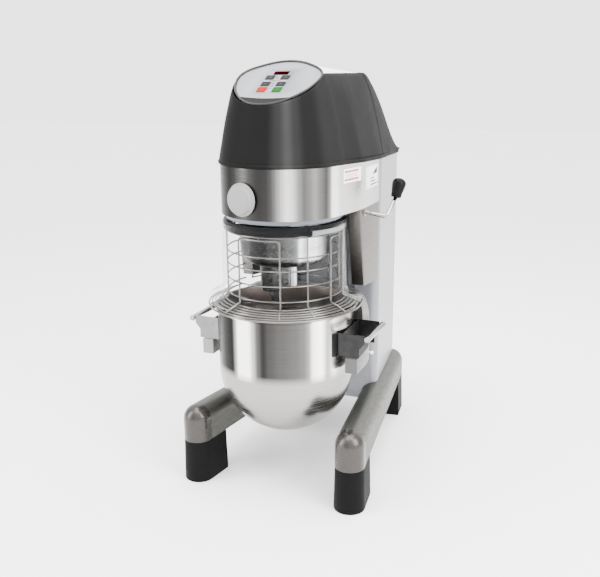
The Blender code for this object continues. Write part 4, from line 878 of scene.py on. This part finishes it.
def make_panel():
    loops = []
    section = (
        (0.0046, -0.0008), (0.0042, 0.0012), (0.0032, 0.0026), (0.0018, 0.0035), (0.0004, 0.0036),
        (-0.0006, 0.0028), (-0.0011, 0.0016), (-0.0012, 0.0004), (0.003, -0.0008),
    )
    for inset, lift in section:
        line = panel_arc(inset, 0, 2 * pi, 160)[:-1]
        loops.append([panel_point(x, up, lift) for x, up in line])
    piece("bezel_ring", loft(loops, True), "bezel", "frame", ["panel_bezel"], sharp=60)
    edge = acos(0.0695 / (panel_radius(radians(45)) - 0.005))
    rim = panel_arc(0.005, edge, 2 * pi - edge, 110)
    x_end = rim[-1][0]
    lower = [
        (x_end + (rim[0][0] - x_end) * i / 24, rim[0][1] - 0.0068 * sin(pi * i / 24))
        for i in range(1, 24)
    ]
    plate = panel_plate(rim + lower, -0.0042, -0.001)
    holes = [
        soft_box(x, up, width + 0.0008, height + 0.0008, 0.0034)
        for x, up, width, height in (DISPLAY, *KEYS.values())
    ]
    cut = join(*[panel_plate(hole, -0.006, 0.001) for hole in holes])
    face = piece("panel_face_plate", plate, "panel", "frame", ["control_panel"], sharp=40)
    tool = piece("panel_holes", cut, "panel", "frame")
    carve = face.modifiers.new("holes", "BOOLEAN")
    carve.operation, carve.solver, carve.object = "DIFFERENCE", "EXACT", tool
    flatten(face)
    bpy.data.objects.remove(tool)
    crescent = panel_arc(0.005, -edge, edge, 40) + [(x, up - 0.0004) for x, up in reversed(lower)]
    piece(
        "panel_lower_field", panel_plate(crescent, -0.0042, -0.0018), "panel_dark", "frame",
        sharp=40,
    )
    window = panel_plate(
        soft_box(*DISPLAY[:2], DISPLAY[2] - 0.003, DISPLAY[3] - 0.003, 0.0022), -0.004, -0.0007,
    )
    frame_bm = panel_plate(soft_box(*DISPLAY, 0.003), -0.0041, -0.0008)
    piece("display_frame", frame_bm, "panel_dark", "frame", sharp=40)
    piece("display_lens", window, "window", "frame", ["display_window"], 0.0003, 40, 2)
    for name, (x, up, width, height) in KEYS.items():
        colour = {"stop": "red", "start": "green"}.get(name, "grey")
        look = f"key_{colour}"
        bm = panel_plate(soft_box(x, up, width, height, 0.0032), -0.0055, -0.0001)
        body = f"key_{name}_body"
        piece(f"key_cap_{name}", bm, look, body, [f"key_{name}"], 0.0006, 40, 3)
        marks = {
            "timer": [
                arrow_arc(x, up, 0.0042, -60, 240), [(x, up + 0.003), (x, up), (x + 0.0022, up - 0.0012)],
            ],
            "display": [
                arrow_arc(x, up - 0.001, 0.0048, 20, 160),
                [(x - 0.0052, up - 0.0034), (x + 0.0052, up - 0.0034)],
            ],
            "minus": [[(x - 0.0048, up), (x + 0.0048, up)]],
            "plus": [[(x - 0.0048, up), (x + 0.0048, up)], [(x, up - 0.0042), (x, up + 0.0042)]],
            "stop": [arrow_arc(x, up, 0.0044, 120, 420), [(x, up + 0.0058), (x, up + 0.0012)]],
            "start": [[(x, up - 0.0046), (x, up + 0.0046)]],
        }[name]
        bm = join(*[stroke(path, 0.0011, -0.0001) for path in marks])
        piece(f"key_mark_{name}", bm, f"mark_{colour}", body)
    red = stroke([(-0.0185, 0.0087), (0.0105, 0.0087)], 0.0018, -0.001)
    piece("panel_line", red, "print_red", "frame")
    bm = bmesh.new()
    for path in (
        arrow_arc(-0.0046, 0.0262, 0.0034, 0, 350), [(-0.0046, 0.029), (-0.0046, 0.0262), (-0.0028, 0.025)],
        [(-0.0078, -0.008), (-0.0045, -0.0035), (-0.0012, -0.008)],
        [(-0.0085, -0.0185), (-0.0045, -0.0205), (-0.0005, -0.0185)],
        [(-0.0045, -0.008), (-0.0045, -0.019)], [(-0.008, -0.0285), (-0.001, -0.0285)],
    ):
        bm = join(bm, stroke(path, 0.001, -0.001))
    piece("panel_symbols", bm, "print_dark", "frame")


def flatten(obj):
    """Applies an object's modifiers to its mesh."""
    bpy.context.view_layer.update()
    graph = bpy.context.evaluated_depsgraph_get()
    mesh = bpy.data.meshes.new_from_object(obj.evaluated_get(graph))
    obj.modifiers.clear()
    obj.data = mesh


# ---------------------------------------------------------------- hub, labels, lever


def make_hub():
    upright = Matrix.Rotation(HUB_ANGLE, 4, "Z") @ Matrix.Translation((0, 0, HUB_Z))
    turn = upright @ Matrix.Rotation(radians(90), 4, "X")
    face, r, d = HEAD_R + 0.0012, HUB_CAP_R, HUB_DISC_R
    cap = lathe([
        (0.0, face), (r - 0.001, face), (r, face + 0.001), (r, face + 0.0055), (r - 0.0006, face + 0.007),
        (r - 0.0022, face + 0.008), (d + 0.001, face + 0.0082), (d + 0.0004, face + 0.009),
        (d, face + 0.0135), (d - 0.0008, face + 0.016), (d - 0.0028, face + 0.0176),
        (d - 0.006, face + 0.0182), (d - 0.015, face + 0.0186), (0.0, face + 0.0188),
    ], 96)
    piece(
        "hub_cap_body", moved(cap, turn), "hub_cap", "hub_cover", ["hub_cap"], sharp=50,
    )


def side_face(y, z):
    """Matrix of a spot on the neck's right side, x out of the steel, y backwards and z up."""
    if y > 0.085:
        return Matrix.Translation((NECK_HALF, y, z))
    x = NECK_HALF - (NECK_CORNER - y) * tan(NECK_LEAN)
    return Matrix.Translation((x + 0.0001, y, z)) @ Matrix.Rotation(-NECK_LEAN, 4, "Z")


def side_plate(spot, width, height, lift, thick, shift=(0, 0), radius=0.0015):
    outline = soft_box(*shift, width, height, radius, 4)
    return loft([[spot @ Vector((x, u, v)) for u, v in outline] for x in (lift, lift + thick)])


def make_labels():
    """A plain white plate with two red bars, and a scale with a wedge and three bars."""

    def mark(width, height, shift, radius):
        return side_plate(spot, width, height, 0.0003, 0.0001, shift, radius)

    spot = side_face(0.0355, 0.879)
    piece(
        "label_border", side_plate(spot, 0.092, 0.04, 0.0, 0.00015, radius=0.002), "print_grey", "frame",
        sharp=40,
    )
    piece("label_plate", side_plate(spot, 0.089, 0.0375, 0.0, 0.0003), "label", "frame", sharp=40)
    red = join(*[mark(0.07, 0.005, (-0.004, up), 0.001) for up in (0.0105, -0.0105)])
    piece("label_bars", red, "label_red", "frame", sharp=40)
    grey = join(*[mark(0.056, 0.0012, (-0.004, -0.004 + 0.004 * i), 0.0004) for i in range(3)])
    piece("label_lines", grey, "print_grey", "frame", sharp=40)
    spot = side_face(0.17, 0.859)
    piece("scale_plate", side_plate(spot, 0.102, 0.06, 0.0, 0.0003), "label", "frame", sharp=40)
    wedge = ((0.002, 0.006), (0.044, 0.024), (0.044, 0.006))
    marks = loft([[spot @ Vector((x, u, v)) for u, v in wedge] for x in (0.0003, 0.0004)])
    for up, size in ((-0.004, 0.03), (-0.0125, 0.046), (-0.0215, 0.062)):
        marks = join(marks, mark(size, 0.0036, (-0.014 + size / 2, up), 0.0008))
    for i in range(6):
        marks = join(marks, mark(0.01, 0.0014, (-0.04, -0.022 + 0.009 * i), 0.0004))
    piece("scale_marks", marks, "print_dark", "frame", sharp=40)


def make_lever():
    pivot, bend = Vector((0.176, 0.112, 0.768)), Vector((0.2512, 0.112, 0.76))
    base, top = Vector((0.264, 0.152, 0.806)), Vector((0.2705, 0.172, 0.857))
    rod = tube(bmesh.new(), rounded([pivot, Vector((0.2, 0.112, 0.768)), bend, base], 0.01, 8), 0.0055, 20)
    collar = lathe(
        [(0.0058, 0.0002), (0.0105, 0.0002), (0.0105, 0.0018), (0.009, 0.0028), (0.0058, 0.0028)], 32,
    )
    moved(collar, Matrix.Translation((NECK_HALF, pivot.y, pivot.z)) @ turned((1, 0, 0)))
    piece("lever_bar", join(rod, collar), "chrome", "lever", ["lever_rod"], sharp=50)
    axis = (top - base).normalized()
    start = base + axis * 0.0015
    length = (top - start).length
    profile = [(0.0, 0.0), (0.0115, 0.0), (0.0132, 0.0008), (0.0142, 0.003)]
    profile += [
        (0.0142 + 0.0048 * sin(pi / 2 * t) ** 2.0, 0.003 + (length * 0.74 - 0.003) * t)
        for t in (0.25, 0.5, 0.75, 0.9, 1.0)
    ]
    profile += [
        (0.019 * cos(a), length * 0.74 + length * 0.26 * sin(a))
        for a in (0.3, 0.6, 0.9, 1.15, 1.35, 1.5)
    ]
    grip = moved(lathe(profile + [(0.0, length)], 48), Matrix.Translation(start) @ turned(axis))
    piece("lever_handle", grip, "black", "lever", ["lever_grip"], sharp=60)


# ---------------------------------------------------------------- drive


def make_drum():
    low, high = 0.6452, 0.8
    profile = [(0.0, low), (0.085, low), (0.088, low + 0.0004)]
    profile += [(0.088 + 0.033 * sin(a), low + 0.033 - 0.033 * cos(a)) for a in spread(0, pi / 2, 12)[1:]]
    profile += [
        (0.121, 0.735), (0.1196, 0.7358), (0.1196, 0.7372), (0.121, 0.738), (0.121, high), (0.117, high),
        (0.117, 0.69), (0.03, 0.68), (0.03, high), (0.0, high),
    ]
    spot = (-0.0115, -0.0589)
    housing = [
        (0.0125, 0.5755), (0.0272, 0.5755), (0.0295, 0.5765), (0.0302, 0.579), (0.0302, 0.585),
        (0.0315, 0.5865), (0.032, 0.589), (0.032, 0.646), (0.0125, 0.646),
    ]
    boss = [(0.0, 0.58), (0.0095, 0.58), (0.011, 0.5815), (0.011, 0.646), (0.0, 0.646)]
    bm = join(lathe(profile, 128), lathe(housing, 64, spot), lathe(boss, 40, (0.031, -0.02)))
    for i in range(4):
        a = radians(40 + 90 * i)
        bolt = [(0.0, 0.6432), (0.0045, 0.6432), (0.005, 0.6437), (0.005, 0.6458), (0.0, 0.6458)]
        bm = join(bm, lathe(bolt, 6, (0.07 * cos(a), 0.07 * sin(a))))
    piece("drum_body", bm, "drum_steel", "planetary", ["planetary_drum"], sharp=40)
    tip = [
        (0.0, 0.5442), (0.003, 0.5442), (0.0042, 0.5456), (0.0058, 0.549), (0.0066, 0.556), (0.0085, 0.56),
        (0.0085, 0.5665), (0.0112, 0.568), (0.0118, 0.57), (0.0118, 0.6), (0.0, 0.6),
    ]
    pin = lathe(
        [
            (0.0, -0.011), (0.0018, -0.011), (0.0022, -0.0105), (0.0022, 0.0105), (0.0018, 0.011),
            (0.0, 0.011),
        ],
        16,
    )
    moved(pin, Matrix.Translation((*spot, 0.552)) @ turned((1, 0.3, 0)) @ Matrix.Scale(0.55, 4, (0, 0, 1)))
    bm = join(lathe(tip, 48, spot), pin)
    piece("spindle_tip", bm, "machined", "spindle", ["tool_spindle"], sharp=40)


# ---------------------------------------------------------------- guard


def on_circle(radius, angle, z):
    return Vector((radius * sin(angle), -radius * cos(angle), z))


def ring_path(radius, z, start, end):
    steps = max(8, round(abs(end - start) / radians(3)))
    return [on_circle(radius, a, z) for a in spread(start, end, steps)]


def sector(profile, start, end):
    steps = max(8, round(abs(end - start) / radians(2.5)))
    return loft([[on_circle(r, a, z) for r, z in profile] for a in spread(start, end, steps)])


def cage(start, end, radius, singles, frames, flange):
    """Hoops, plain posts, frames with a rounded top, and the flange of rings with their spokes."""
    bm = bmesh.new()
    for z in HOOPS:
        tube(bm, ring_path(radius - 0.0021, z, start, end), WIRE, 8)
    for r, z in flange:
        thick = WIRE * (1.3 if (r, z) == flange[-1] else 0.95)
        tube(bm, ring_path(r, z, start, end), thick, 8)

    def foot(angle):
        a = radians(angle)
        if not flange:
            return [on_circle(radius, a, HOOPS[-1] - 0.003)]
        last_r, last_z = flange[-1]
        return [
            on_circle(radius, a, 0.556), on_circle(radius + 0.0035, a, 0.5545),
            on_circle(last_r - 0.002, a, last_z + 0.0046),
        ]

    for angle in singles:
        tube(bm, rounded([on_circle(radius, radians(angle), 0.74)] + foot(angle), 0.003, 3), WIRE * 1.05, 8)
    for left, right in frames:
        a, b = radians(left), radians(right)
        top = ring_path(radius, 0.728, a, b)
        path = foot(left)[::-1] + [top[0]] + top[3:-3] + [top[-1]] + foot(right)
        tube(bm, rounded(path, 0.01, 4), WIRE * 1.1, 8)
    return bm


def make_guard():
    split = radians(48)
    ring = [
        (0.1522, 0.7402), (0.1644, 0.7402), (0.1653, 0.741), (0.1653, 0.763), (0.1644, 0.7638),
        (0.1522, 0.7638),
    ]
    upper = [(r, z if z > 0.75 else z + 0.0125) for r, z in ring]
    band = join(sector(ring, -GUARD_END, split), sector(upper, split - 0.001, GUARD_END))
    lower = [(0.153, 0.7404), (0.1645, 0.7404), (0.165, 0.741), (0.165, 0.7522), (0.153, 0.7522)]
    piece(
        "guard_band_clear", sector(lower, split, GUARD_END), "frosted", "guard",
        sharp=40,
    )
    clip = sector(
        [(0.1515, 0.7392), (0.1662, 0.7392), (0.1662, 0.7648), (0.1515, 0.7648)], radians(45), radians(49),
    )
    piece(
        "guard_band", join(band, clip), "black", "guard", ["guard_ring_front"], 0.0006, 40,
        2,
    )
    bm = cage(-GUARD_END, GUARD_END, POST_R, (-52, 45, 107), ((-25, 19), (72, 101)), FLANGE)
    piece("guard_wires", bm, "wire", "guard", ["guard_cage_front"], sharp=60)
    band = sector(
        [(0.1385, 0.7402), (0.1485, 0.7402), (0.149, 0.741), (0.149, 0.763), (0.1385, 0.7638)],
        pi - REAR_GUARD, pi + REAR_GUARD,
    )
    piece("rear_band", band, "black", "frame", ["guard_ring_rear"], 0.0006, 40, 2)
    bm = cage(pi - REAR_GUARD, pi + REAR_GUARD, 0.1475, (116, 148, 180, 212, 244), (), ())
    piece("rear_wires", bm, "wire", "frame", ["guard_cage_rear"], sharp=60)
    inside = [
        (0.1664, 0.757), (0.169, 0.68), (0.1714, 0.59), (0.1722, 0.576), (0.1745, 0.5675), (0.18, 0.5632),
        (0.2125, 0.5476),
    ]
    outside = [(r + 0.0011, z + (0.0004 if z < 0.58 else 0.0)) for r, z in inside[:-1]] + [(0.2128, 0.5488)]
    profile = inside + outside[::-1]
    bm = sector(profile, -GUARD_END, GUARD_END)
    piece("splash_shield", bm, "clear", "guard", ["clear_shield"], sharp=60)


# ---------------------------------------------------------------- bowl and yoke


def make_bowl():
    inner_r = BOWL_R - BOWL_WALL
    turns = spread(0, pi / 2, 48)[1:]
    outer = [(0.0, BOWL_CENTRE_Z - BOWL_R)] + [
        (BOWL_R * sin(a), BOWL_CENTRE_Z - BOWL_R * cos(a))
        for a in turns
    ]
    bead = (
        (0.0, -0.008), (0.004, -0.0079), (0.0065, -0.007), (0.0078, -0.0055), (0.008, -0.0038),
        (0.0074, -0.0018), (0.0056, -0.0004), (0.003, 0.0), (0.0, -0.0004), (-0.0016, -0.0014),
    )
    rim = [(BOWL_R, 0.42), (BOWL_R, 0.48)] + [(BOWL_R + r, BOWL_RIM_Z + z) for r, z in bead]
    rim += [(inner_r, BOWL_RIM_Z - 0.003), (inner_r, 0.48), (inner_r, 0.42)]
    inner = [(inner_r * sin(a), BOWL_CENTRE_Z - inner_r * cos(a)) for a in reversed(turns)]
    bm = lathe(outer + rim + inner + [(0.0, BOWL_CENTRE_Z - inner_r)], 160)
    bowl = piece("bowl_shell", bm, "bowl_steel", "bowl_set", ["bowl"], sharp=50)
    bowl.data.materials.append(LOOKS["bowl_inside"])
    middle = ORIGIN + Vector((0, 0, BOWL_CENTRE_Z))
    # faces inside the bowl take the painted-shade copy of the steel
    for face in bowl.data.polygons:
        out = face.center - middle
        if out.z > 0:
            out.z = 0
        face.material_index = 1 if face.normal.dot(out) < 0 and out.length < BOWL_R - 0.0015 else 0
    for side, sign in SIDES:
        make_bracket(side, sign)


BRACKET_R = 0.1905  # inner face of the ears, clear of the bowl


def make_bracket(side, sign):
    """Folded plate: two ears, the web between them and a flange welded to the bowl before each ear."""
    low, high, plate = 0.413, 0.4765, 0.003
    bm = bmesh.new()
    ear = [
        (BRACKET_R, low), (0.238, low), (0.238, 0.4385), (0.2515, 0.4535), (0.2515, 0.457), (0.2515, high),
        (BRACKET_R, high),
    ]
    for y in (-0.0672, 0.0648):
        bm = join(bm, loft([[Vector((sign * x, v, z)) for x, z in ear] for v in (y, y + plate)]))
    web = [
        Vector((sign * x, y, 0))
        for x, y in ((BRACKET_R, -0.0645), (0.1935, -0.0645), (0.1935, 0.065), (BRACKET_R, 0.065))
    ]
    bm = join(bm, loft([[p + Vector((0, 0, z)) for p in web] for z in (low, high)]))
    for end in (-1, 1):
        a0, a1 = asin(0.0672 / 0.1915), asin(0.085 / 0.1915)
        turns = spread(a0, a1, 6)
        face = [(sign * BRACKET_R * cos(a), end * BRACKET_R * sin(a)) for a in turns]
        back = [(sign * 0.1886 * cos(a), end * 0.1886 * sin(a)) for a in turns]
        bm = join(bm, prism(face + back[::-1], low, high))
        gusset = [
            (sign * BRACKET_R, end * 0.0645), (sign * 0.179, end * 0.0672),
            (sign * BRACKET_R, end * 0.0672),
        ]
        bm = join(bm, prism(gusset, low, high))
    piece(
        f"bracket_{side}", bm, "bracket_steel", "bowl_set", [f"bowl_bracket_{side}"],
        0.0006, 40, 2,
    )
    rod = lathe([
        (0.0, -0.0715), (0.0048, -0.0715), (0.0052, -0.0708), (0.0055, -0.0712), (0.0072, -0.0712),
        (0.0082, -0.07), (0.0083, -0.066), (0.0076, -0.065), (0.0076, 0.066), (0.0082, 0.067),
        (0.0082, 0.0708), (0.007, 0.0718), (0.0, 0.0718),
    ], 40)
    moved(rod, Matrix.Translation((sign * 0.26, 0, 0.468)) @ turned((0, 1, 0)))
    piece(f"handle_bar_{side}", rod, "chrome", "bowl_set", [f"bowl_handle_{side}"], sharp=40)


def yoke_top(y):
    rise = ((0.077, 0.409), (0.0785, 0.44), (0.082, 0.466), (0.094, 0.49), (0.131, 0.514), (0.161, 0.528))
    return read_off(rise, y)


def make_yoke():
    outer_r, clear_r, bottom = 0.232, 0.213, 0.366
    heights = [
        0.02, 0.04, 0.06, 0.077, 0.0785, 0.082, 0.088, 0.094, 0.105, 0.118, 0.131, 0.146, 0.161, 0.175,
        0.19, 0.203, 0.214,
    ]
    half_out = [(outer_r, -0.066), (outer_r, -0.03), (outer_r, 0.0)]
    half_in = [(0.198, -0.066), (0.198, -0.03), (0.205, 0.0)]
    for y in heights:
        a = asin(y / outer_r)
        half_out.append((outer_r * cos(a), y))
        half_in.append((clear_r * cos(a), min(clear_r * sin(a), 0.2238)))
    plan = half_out + [(-x, y) for x, y in reversed(half_out)]
    inner = half_in + [(-x, y) for x, y in reversed(half_in)]
    bm = wall(plan, inner, bottom, [yoke_top(y) for _, y in plan])
    piece("yoke_casting", bm, "hammered", "lift", ["bowl_yoke"], 0.0022, 50, 3)
    stem = lathe(
        [
            (0.0, 0.0), (0.003, 0.0), (0.003, 0.006), (0.0048, 0.0075), (0.0058, 0.0105), (0.0048, 0.0135),
            (0.0, 0.0155),
        ],
        24,
    )
    moved(stem, Matrix.Translation((0.2105, 0.097, 0.372)) @ turned((0.9, 0.4, -0.25)))
    piece("yoke_stop", stem, "cover", "lift", sharp=50)


# ---------------------------------------------------------------- pieces kept from the frame


KEPT = {
    "base_plate": "paint", "rear_cover": "paint", "gearbox_housing": "cast", "control_board": "board",
    "planet_pinion": "machined", "ring_gear": "machined", "main_shaft": "machined",
    "main_bearing": "machined",
    "large_pulley": "cast", "motor_pulley": "machined", "motor": "motor", "drive_belt": "belt",
    "hub_boss": "machined",
    "lift_carriage": "machined", "guide_bar_left": "machined", "guide_bar_right": "machined",
    "cable_gland": "black",
}


def dress_frame():
    for name, look in KEPT.items():
        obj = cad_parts[name]
        if not obj.material_slots:
            obj.data.materials.append(LOOKS[look])
        for slot in obj.material_slots:
            slot.material = LOOKS[look]


# ---------------------------------------------------------------- camera, light and floor


CAMERA_PLACE, CAMERA_LENS = Vector((0.8387, -1.8817, 1.1366)), 46.45


def make_camera():
    azimuth, elevation, roll = radians(22.92), radians(15.58), radians(-0.51)
    back = Vector((sin(azimuth) * cos(elevation), -cos(azimuth) * cos(elevation), sin(elevation)))
    right = Vector((cos(azimuth), sin(azimuth), 0))
    up = back.cross(right)
    right, up = right * cos(roll) + up * sin(roll), up * cos(roll) - right * sin(roll)
    data = bpy.data.cameras.new("camera")
    data.lens, data.sensor_width, data.sensor_fit = CAMERA_LENS, 36.0, "HORIZONTAL"
    data.clip_start, data.clip_end = 0.05, 60.0
    camera = placed("camera", data)
    place = Matrix((right, up, back)).transposed().to_4x4()
    place.translation = ORIGIN + CAMERA_PLACE
    camera.matrix_world = place
    bpy.context.scene.camera = camera


def area(name, away, size, power):
    """A soft light that looks at the middle of the machine from a distance away."""
    data = bpy.data.lights.new(name, "AREA")
    data.shape, data.size, data.size_y, data.energy = "RECTANGLE", *size, power
    light = placed(name, data)
    light.matrix_world = Matrix.Translation(ORIGIN + MIDDLE + Vector(away)) @ turned(away)


MIDDLE, FLOOR = Vector((0, 0.15, 0.6)), 14.0
WORLD_LEVEL = 3.1
WORLD_DOME = (0.35, 0.85, 0.8)  # where the brighter ceiling starts and ends, and what it adds
# Each band of the room: its azimuth, half width and soft edge in degrees, and what it adds.
WORLD_BANDS = (
    (-12, 9, 8, -1.2), (-50, 15, 10, 2.0), (-85, 8, 12, -0.9), (60, 20, 20, 0.6), (125, 20, 15, -0.6),
)


def make_world():
    """A soft studio room: pale all round, with a few darker upright bands for the steel to mirror."""
    world = bpy.data.worlds.new("studio")
    bpy.context.scene.world = world
    world.use_nodes = True
    tree = world.node_tree
    place = node(tree, "TexCoord").outputs["Generated"]
    flat = node(tree, "VectorMath", place, operation="MULTIPLY")
    flat.inputs[1].default_value = (1, 1, 0)
    unit = node(tree, "VectorMath", flat.outputs[0], operation="NORMALIZE")

    def smooth(source, start, end, height):
        values = {"From_Min": start, "From_Max": end, "To_Min": 0.0, "To_Max": height}
        made = node(tree, "MapRange", source, interpolation_type="SMOOTHSTEP", **values)
        return made.outputs["Result"]

    level = node(tree, "Value").outputs[0]
    level.default_value = WORLD_LEVEL
    for azimuth, width, soft, strength in WORLD_BANDS:
        a = radians(azimuth)
        dot = node(tree, "VectorMath", unit.outputs[0], operation="DOT_PRODUCT")
        dot.inputs[1].default_value = (sin(a), -cos(a), 0)
        start, end = cos(radians(width + soft)), cos(radians(width))
        band = smooth(dot.outputs["Value"], start, end, strength)
        level = node(tree, "Math", band, level, operation="ADD").outputs[0]
    split = node(tree, "SeparateXYZ", place)
    dome = smooth(split.outputs["Z"], *WORLD_DOME)
    level = node(tree, "Math", level, dome, operation="ADD").outputs[0]
    back = tree.nodes["Background"].inputs
    tree.links.new(level, back["Strength"])
    back["Color"].default_value = (1.0, 0.995, 0.99, 1)


def make_stage():
    bm = bmesh.new()
    corners = ((-FLOOR, -FLOOR), (FLOOR, -FLOOR), (FLOOR, FLOOR), (-FLOOR, FLOOR))
    bm.faces.new([bm.verts.new((x, y, -0.0004)) for x, y in corners])
    mesh = bpy.data.meshes.new("floor")
    bm.to_mesh(mesh)
    bm.free()
    look = Look("floor_pale", (0.9, 0.9, 0.9), 0.75)
    look.tint(look.noise(2.0), (0.88, 0.88, 0.88), 0.5)
    mesh.materials.append(look.material)
    floor = placed("floor", mesh)
    make_world()
    area("key_right", (2.6, -0.9, 1.5), (1.6, 2.2), 170)
    area("fill_left", (-2.4, -2.0, 0.9), (0.8, 2.4), 80)
    area("top", (0.2, -0.4, 2.4), (2.4, 2.4), 170)


make_base()
make_column()
make_head()
make_hood()
make_panel()
make_hub()
make_labels()
make_lever()
make_drum()
make_guard()
make_bowl()
make_yoke()
dress_frame()
make_camera()
make_stage()
